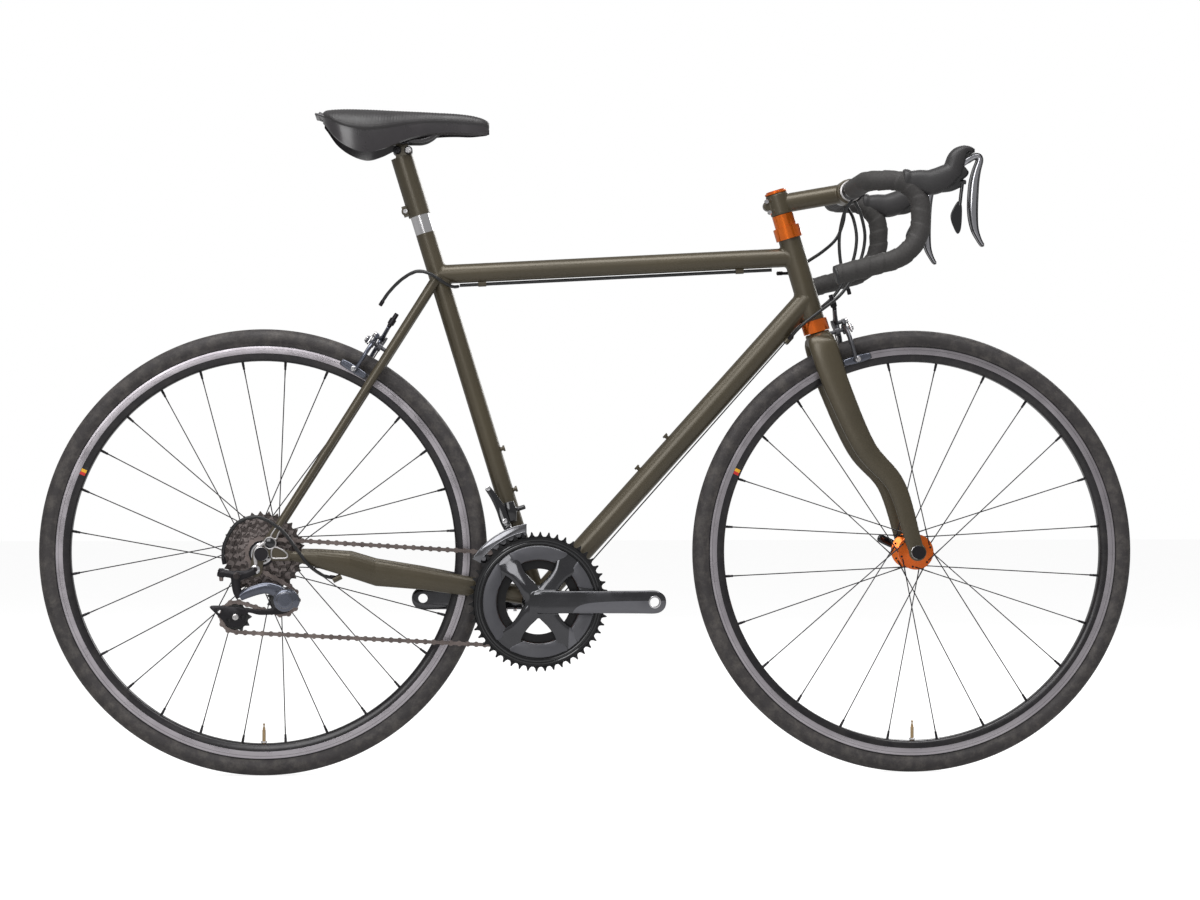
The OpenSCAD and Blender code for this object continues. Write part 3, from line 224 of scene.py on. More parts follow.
def maths(tree, operation, first, second=0.0, clamp=False):
    made = node(tree, "ShaderNodeMath", operation=operation, use_clamp=clamp)
    for socket, value in ((made.inputs[0], first), (made.inputs[1], second)):
        if hasattr(value, "is_output"):
            wire(tree, value, socket)
        else:
            socket.default_value = value
    return made.outputs[0]


def spread(tree, value, low, high, low_to, high_to):
    made = node(tree, "ShaderNodeMapRange")
    wire(tree, value, made.inputs["Value"])
    for key, number in (("From Min", low), ("From Max", high), ("To Min", low_to), ("To Max", high_to)):
        if hasattr(number, "is_output"):
            wire(tree, number, made.inputs[key])
        else:
            made.inputs[key].default_value = number
    return made.outputs["Result"]


def noise(tree, place, scale, detail=4.0, rough=0.55):
    made = node(tree, "ShaderNodeTexNoise")
    wire(tree, place, made.inputs["Vector"])
    if hasattr(scale, "is_output"):
        wire(tree, scale, made.inputs["Scale"])
    else:
        made.inputs["Scale"].default_value = scale
    made.inputs["Detail"].default_value = detail
    made.inputs["Roughness"].default_value = rough
    return made.outputs["Fac"]


def own_place(tree):
    return node(tree, "ShaderNodeTexCoord").outputs["Object"]


def make_drift():
    """Slow change between two close colours, with fine speckle on top."""
    group, given, out = effect(
        "colour_drift",
        [("Main", COLOUR, (0.5, 0.5, 0.5, 1)), ("Other", COLOUR, (0.4, 0.4, 0.4, 1)),
         ("Scale", FLOAT, 12.0), ("Speckle", FLOAT, 0.1)],
        [("Color", COLOUR)],
    )
    place = own_place(group)
    slow = spread(group, noise(group, place, given.outputs["Scale"]), 0.35, 0.65, 0.0, 1.0)
    base = mix_colours(group, slow, given.outputs["Main"], given.outputs["Other"])
    fine = spread(group, noise(group, place, 2400.0, 2.0), 0.3, 0.7, 0.0, 1.0)
    share = maths(group, "MULTIPLY", fine, given.outputs["Speckle"])
    wire(group, mix_colours(group, share, base, (0.75, 0.72, 0.66, 1)), out.inputs["Color"])
    return group


def make_grain():
    """Bump of fine grain: the orange peel of paint, cast metal or moulded rubber."""
    group, given, out = effect(
        "fine_grain",
        [("Scale", FLOAT, 900.0), ("Depth", FLOAT, 0.2), ("Height", FLOAT, 0.0001)],
        [("Normal", VECTOR), ("Mask", FLOAT)],
    )
    height = noise(group, own_place(group), given.outputs["Scale"], 3.0)
    bump = node(group, "ShaderNodeBump")
    wire(group, given.outputs["Depth"], bump.inputs["Strength"])
    wire(group, given.outputs["Height"], bump.inputs["Distance"])
    wire(group, height, bump.inputs["Height"])
    wire(group, bump.outputs["Normal"], out.inputs["Normal"])
    wire(group, height, out.inputs["Mask"])
    return group


def make_handling():
    """Roughness that varies with smears and fine scratches from handling."""
    group, given, out = effect(
        "handling_marks",
        [("Roughness", FLOAT, 0.4), ("Range", FLOAT, 0.15), ("Scale", FLOAT, 25.0)],
        [("Roughness", FLOAT), ("Scratches", FLOAT)],
    )
    place = own_place(group)
    smear = spread(group, noise(group, place, given.outputs["Scale"], 6.0), 0.3, 0.7, -1.0, 1.0)
    stretch = node(group, "ShaderNodeMapping")
    stretch.inputs["Rotation"].default_value = (0.3, 0.5, 0.8)
    stretch.inputs["Scale"].default_value = (40.0, 900.0, 500.0)
    wire(group, place, stretch.inputs["Vector"])
    scratch = spread(group, noise(group, stretch.outputs["Vector"], 1.0, 2.0), 0.66, 0.74, 0.0, 1.0)
    both = maths(group, "ADD", smear, scratch)
    shift = maths(group, "MULTIPLY", both, given.outputs["Range"])
    wire(group, maths(group, "ADD", given.outputs["Roughness"], shift, clamp=True), out.inputs["Roughness"])
    wire(group, scratch, out.inputs["Scratches"])
    return group


def make_turned():
    """Fine rings round an axle along Y, as a lathe leaves them."""
    group, given, out = effect(
        "turned_rings",
        [("Centre", VECTOR, (0, 0, 0)), ("Rings per metre", FLOAT, 3000.0), ("Depth", FLOAT, 0.3)],
        [("Normal", VECTOR), ("Mask", FLOAT)],
    )
    away = node(group, "ShaderNodeVectorMath", operation="SUBTRACT")
    wire(group, own_place(group), away.inputs[0])
    wire(group, given.outputs["Centre"], away.inputs[1])
    flat = node(group, "ShaderNodeVectorMath", operation="MULTIPLY")
    wire(group, away.outputs[0], flat.inputs[0])
    flat.inputs[1].default_value = (1, 0, 1)
    radius = node(group, "ShaderNodeVectorMath", operation="LENGTH")
    wire(group, flat.outputs[0], radius.inputs[0])
    lines = node(group, "ShaderNodeTexNoise", noise_dimensions="1D")
    wire(group, radius.outputs["Value"], lines.inputs["W"])
    wire(group, given.outputs["Rings per metre"], lines.inputs["Scale"])
    bump = node(group, "ShaderNodeBump")
    bump.inputs["Distance"].default_value = 0.00005
    wire(group, given.outputs["Depth"], bump.inputs["Strength"])
    wire(group, lines.outputs["Fac"], bump.inputs["Height"])
    wire(group, bump.outputs["Normal"], out.inputs["Normal"])
    wire(group, lines.outputs["Fac"], out.inputs["Mask"])
    return group


def make_pebble():
    """Raised cells of leather or moulded grip rubber."""
    group, given, out = effect(
        "pebbled_skin",
        [("Scale", FLOAT, 700.0), ("Depth", FLOAT, 0.5), ("Height", FLOAT, 0.0003)],
        [("Normal", VECTOR), ("Mask", FLOAT)],
    )
    cells = node(group, "ShaderNodeTexVoronoi", feature="SMOOTH_F1")
    wire(group, own_place(group), cells.inputs["Vector"])
    wire(group, given.outputs["Scale"], cells.inputs["Scale"])
    bump = node(group, "ShaderNodeBump", invert=True)
    wire(group, given.outputs["Depth"], bump.inputs["Strength"])
    wire(group, given.outputs["Height"], bump.inputs["Distance"])
    wire(group, cells.outputs["Distance"], bump.inputs["Height"])
    wire(group, bump.outputs["Normal"], out.inputs["Normal"])
    wire(group, cells.outputs["Distance"], out.inputs["Mask"])
    return group


def make_dust():
    """A pale film in patches."""
    group, given, out = effect(
        "road_dust",
        [("Color", COLOUR, (0.1, 0.1, 0.1, 1)), ("Dust", COLOUR, (0.4, 0.36, 0.31, 1)),
         ("Amount", FLOAT, 0.1)],
        [("Color", COLOUR)],
    )
    patch = spread(group, noise(group, own_place(group), 60.0, 8.0, 0.7), 0.45, 0.75, 0.0, 1.0)
    share = maths(group, "MULTIPLY", patch, given.outputs["Amount"], clamp=True)
    wire(group, mix_colours(group, share, given.outputs["Color"], given.outputs["Dust"]), out.inputs["Color"])
    return group


EFFECTS = {
    "drift": make_drift(),
    "grain": make_grain(),
    "handling": make_handling(),
    "turned": make_turned(),
    "pebble": make_pebble(),
    "dust": make_dust(),
}


def place_effect(tree, name, **values):
    made = node(tree, "ShaderNodeGroup", node_tree=EFFECTS[name])
    for key, value in values.items():
        socket = made.inputs[key.replace("_", " ")]
        if hasattr(value, "is_output"):
            wire(tree, value, socket)
        else:
            socket.default_value = value
    return made


def rgb(red, green, blue):
    return (red, green, blue, 1.0)


def finish(name, main, other, roughness, metallic=0.0, coat=0.0, coat_roughness=0.1, grain=(900.0, 0.15),
           handling=0.1, speckle=0.0, dust=0.0, skin="grain", drift_scale=12.0, specular=0.5):
    """One painted, plated or moulded finish, put together from the shared effects."""
    material = bpy.data.materials.new(name)
    material.use_nodes = True
    tree = material.node_tree
    shader = tree.nodes["Principled BSDF"]
    drift = place_effect(tree, "drift", Main=main, Other=other, Speckle=speckle, Scale=drift_scale)
    colour = drift.outputs["Color"]
    if dust:
        colour = place_effect(tree, "dust", Color=colour, Amount=dust).outputs["Color"]
    wire(tree, colour, shader.inputs["Base Color"])
    marks = place_effect(tree, "handling", Roughness=roughness, Range=handling)
    wire(tree, marks.outputs["Roughness"], shader.inputs["Roughness"])
    surface = place_effect(tree, skin, Scale=grain[0], Depth=grain[1])
    wire(tree, surface.outputs["Normal"], shader.inputs["Normal"])
    shader.inputs["Metallic"].default_value = metallic
    shader.inputs["Coat Weight"].default_value = coat
    shader.inputs["Coat Roughness"].default_value = coat_roughness
    shader.inputs["Specular IOR Level"].default_value = specular
    return material


def turned_finish(name, main, other, roughness, centre, metallic=1.0, depth=0.3, rings=3000.0):
    """A lathe-turned metal, its rings centred on an axle given in mm."""
    material = finish(name, main, other, roughness, metallic=metallic)
    tree = material.node_tree
    shader = tree.nodes["Principled BSDF"]
    rings_made = place_effect(tree, "turned", Centre=tuple(centre * MM), Depth=depth, Rings_per_metre=rings)
    wire(tree, rings_made.outputs["Normal"], shader.inputs["Normal"])
    return material


def floor_finish():
    """A bright paper floor, which only the camera sees at its full brightness."""
    material = finish("pale_floor", rgb(0.4, 0.4, 0.4), rgb(0.38, 0.38, 0.38), 0.8, grain=(300.0, 0.02),
                      handling=0.03)
    tree = material.node_tree
    shader = tree.nodes["Principled BSDF"]
    shader.inputs["Emission Color"].default_value = (1.0, 1.0, 1.0, 1.0)
    seen = node(tree, "ShaderNodeLightPath").outputs["Is Camera Ray"]
    wire(tree, spread(tree, seen, 0.0, 1.0, ROOM_LIGHT * 0.6, 0.8), shader.inputs["Emission Strength"])
    return material


OLIVE = rgb(0.062, 0.047, 0.022)
OLIVE_DEEP = rgb(0.047, 0.036, 0.017)
PAINT = dict(roughness=0.36, metallic=0.35, coat=0.25, coat_roughness=0.28, grain=(1500.0, 0.06),
             speckle=0.05, handling=0.04, drift_scale=5.0)
M = {
    "frame_paint": finish("satin_olive_paint", OLIVE, OLIVE_DEEP, **PAINT),
    "orange": finish("orange_anodised", rgb(0.82, 0.17, 0.012), rgb(0.7, 0.12, 0.008), 0.24, metallic=0.8,
                     coat=0.4, grain=(2500.0, 0.05), handling=0.06),
    "black_anodised": finish("black_anodised", rgb(0.014, 0.013, 0.015), rgb(0.02, 0.018, 0.021), 0.34,
                             metallic=0.6, grain=(2500.0, 0.06), handling=0.08),
    "black_gloss": finish("black_gloss_lacquer", rgb(0.008, 0.008, 0.01), rgb(0.012, 0.012, 0.014), 0.12,
                          metallic=0.3, coat=0.8, coat_roughness=0.05, grain=(400.0, 0.02), handling=0.04),
    "black_plastic": finish("black_moulded_plastic", rgb(0.012, 0.012, 0.013), rgb(0.018, 0.018, 0.02), 0.42,
                            grain=(1600.0, 0.15), handling=0.08, speckle=0.02),
    "polished": finish("polished_alloy", rgb(0.78, 0.77, 0.78), rgb(0.68, 0.67, 0.69), 0.16, metallic=1.0,
                       grain=(1200.0, 0.04), handling=0.07),
    "brushed": finish("brushed_alloy", rgb(0.62, 0.6, 0.6), rgb(0.54, 0.52, 0.52), 0.32, metallic=1.0,
                      grain=(2600.0, 0.15), handling=0.1),
    "steel": finish("plated_steel", rgb(0.27, 0.225, 0.21), rgb(0.17, 0.14, 0.135), 0.28, metallic=1.0,
                    grain=(2000.0, 0.12), handling=0.12, dust=0.12, drift_scale=60.0),
    # Dark steel: the real finish of some bolts, and also painted shade standing in for holes, notches and
    # sockets.
    "dark_steel": finish("blued_steel", rgb(0.06, 0.052, 0.052), rgb(0.035, 0.03, 0.032), 0.3, metallic=0.9,
                         grain=(2000.0, 0.1), handling=0.1, dust=0.08),
    "anthracite": finish("anthracite_gloss", rgb(0.072, 0.072, 0.08), rgb(0.052, 0.052, 0.06), 0.22,
                         metallic=0.75, coat=0.5, coat_roughness=0.06, grain=(1500.0, 0.03), handling=0.04),
    "anthracite_satin": finish("anthracite_satin", rgb(0.12, 0.12, 0.13), rgb(0.09, 0.09, 0.1), 0.36,
                               metallic=0.7, grain=(2200.0, 0.08), handling=0.06),
    "blue_grey": finish("blue_grey_lacquer", rgb(0.13, 0.14, 0.175), rgb(0.085, 0.092, 0.12), 0.2,
                        metallic=0.8,
                        coat=0.6, coat_roughness=0.08, grain=(1500.0, 0.04), handling=0.05),
    "tyre": finish("tyre_rubber", rgb(0.022, 0.019, 0.021), rgb(0.03, 0.026, 0.028), 0.62,
                   grain=(700.0, 0.35),
                   handling=0.12, speckle=0.04, dust=0.16, specular=0.35),
    "hood": finish("hood_rubber", rgb(0.018, 0.017, 0.019), rgb(0.026, 0.025, 0.027), 0.5, skin="pebble",
                   grain=(900.0, 0.12), handling=0.1, speckle=0.03, specular=0.4),
    "tape": finish("bar_tape_cork", rgb(0.012, 0.011, 0.012), rgb(0.022, 0.02, 0.022), 0.66, skin="pebble",
                   grain=(520.0, 0.55), handling=0.1, speckle=0.08, specular=0.35),
    "saddle": finish("saddle_skin", rgb(0.012, 0.011, 0.013), rgb(0.02, 0.018, 0.021), 0.46, skin="pebble",
                     grain=(1300.0, 0.3), handling=0.1, speckle=0.04),
    "carbon": finish("dark_composite", rgb(0.022, 0.02, 0.022), rgb(0.034, 0.03, 0.033), 0.3, coat=0.5,
                     coat_roughness=0.2, grain=(1800.0, 0.08), handling=0.06),
    "pad": finish("brake_pad_rubber", rgb(0.03, 0.03, 0.036), rgb(0.045, 0.045, 0.05), 0.7,
                  grain=(900.0, 0.4),
                  handling=0.1, dust=0.15),
    "housing": finish("cable_housing", rgb(0.01, 0.01, 0.011), rgb(0.016, 0.016, 0.017), 0.3,
                      grain=(1500.0, 0.06), handling=0.08),
    "brass": finish("valve_brass", rgb(0.5, 0.36, 0.2), rgb(0.42, 0.3, 0.18), 0.3, metallic=1.0,
                    handling=0.1),
    "rim_black": finish("rim_black", rgb(0.012, 0.011, 0.013), rgb(0.018, 0.016, 0.019), 0.3, metallic=0.4,
                        coat=0.3, coat_roughness=0.15, grain=(1800.0, 0.05), handling=0.06, dust=0.05),
    "decal_red": finish("decal_red", rgb(0.6, 0.03, 0.02), rgb(0.5, 0.02, 0.02), 0.35),
    "decal_amber": finish("decal_amber", rgb(0.85, 0.45, 0.02), rgb(0.75, 0.4, 0.02), 0.35),
}
for wheel_name, axle_at in (("front", FRONT_AXLE), ("rear", REAR_AXLE)):
    M["track_" + wheel_name] = turned_finish(
        wheel_name + "_brake_track", rgb(0.5, 0.47, 0.5), rgb(0.42, 0.39, 0.42), 0.3, axle_at, rings=2600.0)
M["cog_steel"] = turned_finish("cog_steel", rgb(0.3, 0.26, 0.25), rgb(0.2, 0.17, 0.165), 0.3, REAR_AXLE)
# A darker copy of the cog steel: painted shade that parts the stacked cogs, put on every other cog.
M["cog_dark"] = turned_finish("cog_dark_steel", rgb(0.13, 0.11, 0.105), rgb(0.08, 0.07, 0.066), 0.3,
                              REAR_AXLE)
M["ring_black"] = turned_finish("ring_black", rgb(0.03, 0.029, 0.031), rgb(0.02, 0.02, 0.021), 0.3,
                                CRANK_AXLE, metallic=0.7, depth=0.2)


def mast_finish():
    """The frame paint, with a band of bare polished tube under the mast topper."""
    material = finish("mast_paint", OLIVE, OLIVE_DEEP, **PAINT)
    tree = material.node_tree
    shader = tree.nodes["Principled BSDF"]
    paint = shader.inputs["Base Color"].links[0].from_socket
    rough = shader.inputs["Roughness"].links[0].from_socket
    along = node(tree, "ShaderNodeVectorMath", operation="DOT_PRODUCT")
    wire(tree, own_place(tree), along.inputs[0])
    along.inputs[1].default_value = tuple(SEAT_UP)
    foot = (CRANK_AXLE * MM).dot(SEAT_UP)
    edge = foot + (MAST_BARE_FROM * MM)
    bare = maths(tree, "GREATER_THAN", along.outputs["Value"], edge)
    wire(tree, mix_colours(tree, bare, paint, rgb(0.72, 0.71, 0.72)), shader.inputs["Base Color"])
    wire(tree, maths(tree, "SUBTRACT", rough, maths(tree, "MULTIPLY", bare, 0.22)),
         shader.inputs["Roughness"])
    wire(tree, maths(tree, "ADD", maths(tree, "MULTIPLY", bare, 0.65), 0.35), shader.inputs["Metallic"])
    return material


MAST_BARE_FROM = 578.0
M["mast_paint"] = mast_finish()

# The finish of each CAD node that stays as it is.
NODE_FINISH = {
    "seat_tube": "mast_paint", "top_tube": "frame_paint", "down_tube": "frame_paint",
    "head_tube": "frame_paint", "bb_shell": "frame_paint", "chain_stays": "frame_paint",
    "seat_stays": "frame_paint", "dropouts": "frame_paint", "mast_topper": "frame_paint",
    "bearing_cups": "orange", "headset_spacers": "orange", "chain": "steel", "saddle_clamp": "black_anodised",
    "frame_fittings": "frame_paint", "handlebar": "black_anodised", "stem": "frame_paint",
    "stem_hardware": "black_anodised", "front_axle": "black_anodised", "rear_axle": "black_anodised",
    "front_brake_mount": "anthracite_satin", "rear_brake_mount": "anthracite_satin",
    "front_mech_body": "anthracite_satin", "front_mech_cage": "polished",
    "mech_hanger_link": "black_anodised",
    "mech_outer_link": "blue_grey", "mech_knuckle": "blue_grey", "mech_cage": "black_anodised",
    "guide_pulley": "black_plastic", "tension_pulley": "black_plastic", "front_hub": "orange",
    "rear_hub": "black_anodised", "cassette": "cog_steel", "right_crank": "anthracite",
    "left_crank": "anthracite", "chainrings": "ring_black", "saddle_shell": "carbon",
    "saddle_cover": "saddle", "saddle_rails": "carbon", "fork": "frame_paint", "bar_tape": "tape",
    "brake_hoods": "hood", "bar_housings": "housing", "frame_cables": "housing",
    "front_brake_housing": "housing", "front_spokes": "black_anodised", "rear_spokes": "black_anodised",
    "front_rim": "rim_black", "rear_rim": "rim_black", "front_tyre": "tyre", "rear_tyre": "tyre",
    "left_brake_lever": "black_gloss", "right_brake_lever": "black_gloss",
    "left_shift_paddle": "black_gloss", "right_shift_paddle": "black_gloss",
    "front_brake_left_arm": "anthracite_satin", "front_brake_right_arm": "anthracite_satin",
    "rear_brake_left_arm": "anthracite_satin", "rear_brake_right_arm": "anthracite_satin",
    "front_qr_lever": "black_anodised", "rear_qr_lever": "black_anodised",
}


def dress_nodes():
    for name, key in NODE_FINISH.items():
        mesh = frame["nodes"][name].data
        mesh.materials.clear()
        mesh.materials.append(M[key])


# ---------------------------------------------------------------- mesh making, sizes in mm
def piece(name, vertices, faces, material, smooth=True, crease=35.0):
    """A mesh object from points in mm, its doubles merged and its faces pointing outwards."""
    mesh = bpy.data.meshes.new(name)
    mesh.from_pydata([tuple(Vector(v) * MM) for v in vertices], [], faces)
    worked = bmesh.new()
    worked.from_mesh(mesh)
    bmesh.ops.remove_doubles(worked, verts=worked.verts, dist=1e-6)
    bmesh.ops.recalc_face_normals(worked, faces=worked.faces)
    worked.to_mesh(mesh)
    worked.free()
    mesh.materials.append(material)
    made = linked(name, mesh)
    if smooth:
        smooth_by_angle(mesh, crease)
    return made


def smooth_by_angle(mesh, degrees):
    for polygon in mesh.polygons:
        polygon.use_smooth = True
    worked = bmesh.new()
    worked.from_mesh(mesh)
    limit = math.radians(degrees)
    for edge in worked.edges:
        edge.smooth = len(edge.link_faces) == 2 and edge.calc_face_angle(0.0) < limit
    worked.to_mesh(mesh)
    worked.free()


def rings_mesh(rings, closed_ring=True, closed_path=False):
    """Points and faces of a skin over rings with the same number of points, ends capped."""
    count = len(rings[0])
    points = [p for ring in rings for p in ring]
    faces = []
    steps = len(rings) if closed_path else len(rings) - 1
    for i in range(steps):
        j = (i + 1) % len(rings)
        for k in range(count if closed_ring else count - 1):
            m = (k + 1) % count
            faces.append((i * count + k, i * count + m, j * count + m, j * count + k))
    if closed_ring and not closed_path:
        faces.append(tuple(range(count - 1, -1, -1)))
        faces.append(tuple((len(rings) - 1) * count + k for k in range(count)))
    return points, faces


def lathe(name, profile, centre, material, segments=128, crease=35.0, closed=True):
    """Turns a closed profile of (radius, y) points round an axle along Y."""
    rings = []
    for i in range(segments):
        a = 2 * math.pi * i / segments
        rings.append([centre + Vector((r * math.cos(a), y, r * math.sin(a))) for r, y in profile])
    points, faces = rings_mesh(rings, closed_ring=closed, closed_path=True)
    return piece(name, points, faces, material, crease=crease)


def smooth_path(points, steps=8):
    """A Catmull-Rom curve through the points, or through tuples of any length."""
    points = [Vector(p) for p in points]
    ends = [points[0] * 2 - points[1]] + points + [points[-1] * 2 - points[-2]]
    path = []
    for i in range(1, len(ends) - 2):
        a, b, c, d = ends[i - 1:i + 3]
        for s in range(steps):
            t = s / steps
            path.append((b * 2 + (c - a) * t + (a * 2 - b * 5 + c * 4 - d) * t * t
                         + (b * 3 - a - c * 3 + d) * t ** 3) / 2)
    path.append(points[-1])
    return path


def directions(path):
    """The direction of travel and a side direction at each point, without twist."""
    ahead = []
    for i in range(len(path)):
        a, b = path[max(i - 1, 0)], path[min(i + 1, len(path) - 1)]
        ahead.append((b - a).normalized())
    side = ahead[0].cross(Vector((0, 0, 1)))
    if side.length < 0.1:
        side = ahead[0].cross(Vector((0, 1, 0)))
    side.normalize()
    sides = []
    for i, u in enumerate(ahead):
        side = (side - u * side.dot(u)).normalized()
        sides.append(side.copy())
    return ahead, sides


def sweep_rings(path, widths, heights, sides=24, power=2.0, side_hint=None):
    """Rings of superellipse section along a path. Widths lie along the side direction."""
    ahead, side = directions(path)
    rings = []
    for i, p in enumerate(path):
        u = ahead[i]
        s = side[i]
        if side_hint is not None:
            s = (side_hint - u * side_hint.dot(u)).normalized()
        up = u.cross(s).normalized()
        ring = []
        for k in range(sides):
            a = 2 * math.pi * k / sides
            c, n = math.cos(a), math.sin(a)
            x = math.copysign(abs(c) ** (2 / power), c) * widths[i]
            y = math.copysign(abs(n) ** (2 / power), n) * heights[i]
            ring.append(p + s * x + up * y)
        rings.append(ring)
    return rings


def tube(name, path, radius, material, sides=16):
    radii = [radius] * len(path) if isinstance(radius, (int, float)) else radius
    points, faces = rings_mesh(sweep_rings(path, radii, radii, sides))
    return piece(name, points, faces, material, crease=60.0)


def shaped_sweep(name, stations, material, side_hint, sides=24, steps=6, power=2.0):
    """A sweep through stations of (point, half width, half height), smoothed between them."""
    rows = smooth_path([(*p, w, h) for p, w, h in stations], steps)
    path = [Vector(r[:3]) for r in rows]
    widths = [max(r[3], 0.05) for r in rows]
    heights = [max(r[4], 0.05) for r in rows]
    points, faces = rings_mesh(sweep_rings(path, widths, heights, sides, power, Vector(side_hint)))
    return piece(name, points, faces, material, crease=60.0)


def plate(name, outline, y0, y1, material, bevel=0.0, at=Vector((0, 0, 0)), segments=2):
    """A flat shape of (x, z) points, extruded from y0 to y1 with its edges rounded."""
    count = len(outline)
    points = [at + Vector((x, y0, z)) for x, z in outline] + [at + Vector((x, y1, z)) for x, z in outline]
    faces = [tuple(range(count)), tuple(range(2 * count - 1, count - 1, -1))]
    for k in range(count):
        m = (k + 1) % count
        faces.append((k, m, count + m, count + k))
    made = piece(name, points, faces, material, crease=30.0)
    if bevel:
        edge = made.modifiers.new("rounded_edges", "BEVEL")
        edge.width = bevel * MM
        edge.segments = segments
        edge.limit_method = "ANGLE"
        edge.angle_limit = math.radians(40)
        made = settled(made, crease=40.0)
    return made


def settled(made, crease=None):
    """The object with its modifiers applied to a plain mesh."""
    bpy.context.view_layer.update()
    graph = bpy.context.evaluated_depsgraph_get()
    mesh = bpy.data.meshes.new_from_object(made.evaluated_get(graph))
    old = made.data
    made.modifiers.clear()
    made.data = mesh
    bpy.data.meshes.remove(old)
    mesh.name = made.name
    if crease is not None:
        smooth_by_angle(mesh, crease)
    return made


def joined(name, parts):
    """Several objects as one mesh, each part keeping its material."""
    materials, vertices, faces, slots, smooth = [], [], [], [], []
    for part in parts:
        start = len(vertices)
        vertices += [v.co.copy() for v in part.data.vertices]
        for polygon in part.data.polygons:
            faces.append(tuple(start + v for v in polygon.vertices))
            material = part.data.materials[polygon.material_index]
            if material not in materials:
                materials.append(material)
            slots.append(materials.index(material))
            smooth.append(polygon.use_smooth)
    mesh = bpy.data.meshes.new(name)
    mesh.from_pydata([tuple(v) for v in vertices], [], faces)
    for material in materials:
        mesh.materials.append(material)
    mesh.polygons.foreach_set("material_index", slots)
    mesh.polygons.foreach_set("use_smooth", smooth)
    for part in parts:
        bpy.data.objects.remove(part)
    made = linked(name, mesh)
    smooth_by_angle(mesh, 38.0)
    return made


def fused(name, parts, voxel, rounds=4, material=None):
    """Parts melted into one closed skin with soft blends between them, as a casting has."""
    made = joined(name, parts)
    melt = made.modifiers.new("melt", "REMESH")
    melt.mode = "VOXEL"
    melt.voxel_size = voxel * MM
    melt.use_smooth_shade = True
    relax = made.modifiers.new("relax", "SMOOTH")
    relax.factor = 0.5
    relax.iterations = rounds
    chosen = material or made.data.materials[0]
    made = settled(made)
    made.data.materials.clear()
    made.data.materials.append(chosen)
    for polygon in made.data.polygons:
        polygon.use_smooth = True
    return made


def disc_points(at, r, count=24, start=0.0, end=360.0):
    """Points of an arc in X and Z round a point."""
    turn = math.radians(end - start)
    last = count - 1 if end - start < 360 else count
    return [(at[0] + r * math.cos(math.radians(start) + turn * i / last),
             at[1] + r * math.sin(math.radians(start) + turn * i / last)) for i in range(count)]


def moved(made, matrix):
    """Turns and shifts the mesh itself, the shift given in mm."""
    matrix = matrix.copy()
    matrix.translation = matrix.translation * MM
    made.data.transform(matrix)
    return made


# ---------------------------------------------------------------- geometry nodes for what repeats
def wire_repeat(tree, points, rotation, given, out):
    """Sets the named piece on the points, makes it real and gives it its finish."""
    shape = node(tree, "GeometryNodeObjectInfo", transform_space="ORIGINAL")
    wire(tree, given.outputs["Piece"], shape.inputs["Object"])
    copies = node(tree, "GeometryNodeInstanceOnPoints")
    wire(tree, points, copies.inputs["Points"])
    wire(tree, shape.outputs["Geometry"], copies.inputs["Instance"])
    wire(tree, rotation, copies.inputs["Rotation"])
    size = node(tree, "ShaderNodeCombineXYZ")
    for axis in "XYZ":
        wire(tree, given.outputs["Size"], size.inputs[axis])
    wire(tree, size.outputs["Vector"], copies.inputs["Scale"])
    real = node(tree, "GeometryNodeRealizeInstances")
    wire(tree, copies.outputs["Instances"], real.inputs["Geometry"])
    coat = node(tree, "GeometryNodeSetMaterial")
    wire(tree, real.outputs["Geometry"], coat.inputs["Geometry"])
    wire(tree, given.outputs["Finish"], coat.inputs["Material"])
    wire(tree, coat.outputs["Geometry"], out.inputs["Geometry"])


def repeat_tree(name, extra):
    tree = bpy.data.node_groups.new(name, "GeometryNodeTree")
    tree.interface.new_socket("Geometry", in_out="INPUT", socket_type="NodeSocketGeometry")
    for socket_name, kind, value in extra:
        socket = tree.interface.new_socket(socket_name, in_out="INPUT", socket_type=kind)
        socket.default_value = value
    tree.interface.new_socket("Piece", in_out="INPUT", socket_type="NodeSocketObject")
    tree.interface.new_socket("Finish", in_out="INPUT", socket_type="NodeSocketMaterial")
    size = tree.interface.new_socket("Size", in_out="INPUT", socket_type=FLOAT)
    size.default_value = 1.0
    tree.interface.new_socket("Geometry", in_out="OUTPUT", socket_type="NodeSocketGeometry")
    return tree, node(tree, "NodeGroupInput"), node(tree, "NodeGroupOutput")


def make_places_tree():
    """Copies of a piece on given points, each turned by the point's own "turn" attribute."""
    tree, given, out = repeat_tree("pieces_on_places", [])
    turn = node(tree, "GeometryNodeInputNamedAttribute", data_type="FLOAT_VECTOR")
    turn.inputs["Name"].default_value = "turn"
    rotation = node(tree, "FunctionNodeEulerToRotation")
    wire(tree, turn.outputs["Attribute"], rotation.inputs["Euler"])
    wire_repeat(tree, given.outputs["Geometry"], rotation.outputs["Rotation"], given, out)
    return tree


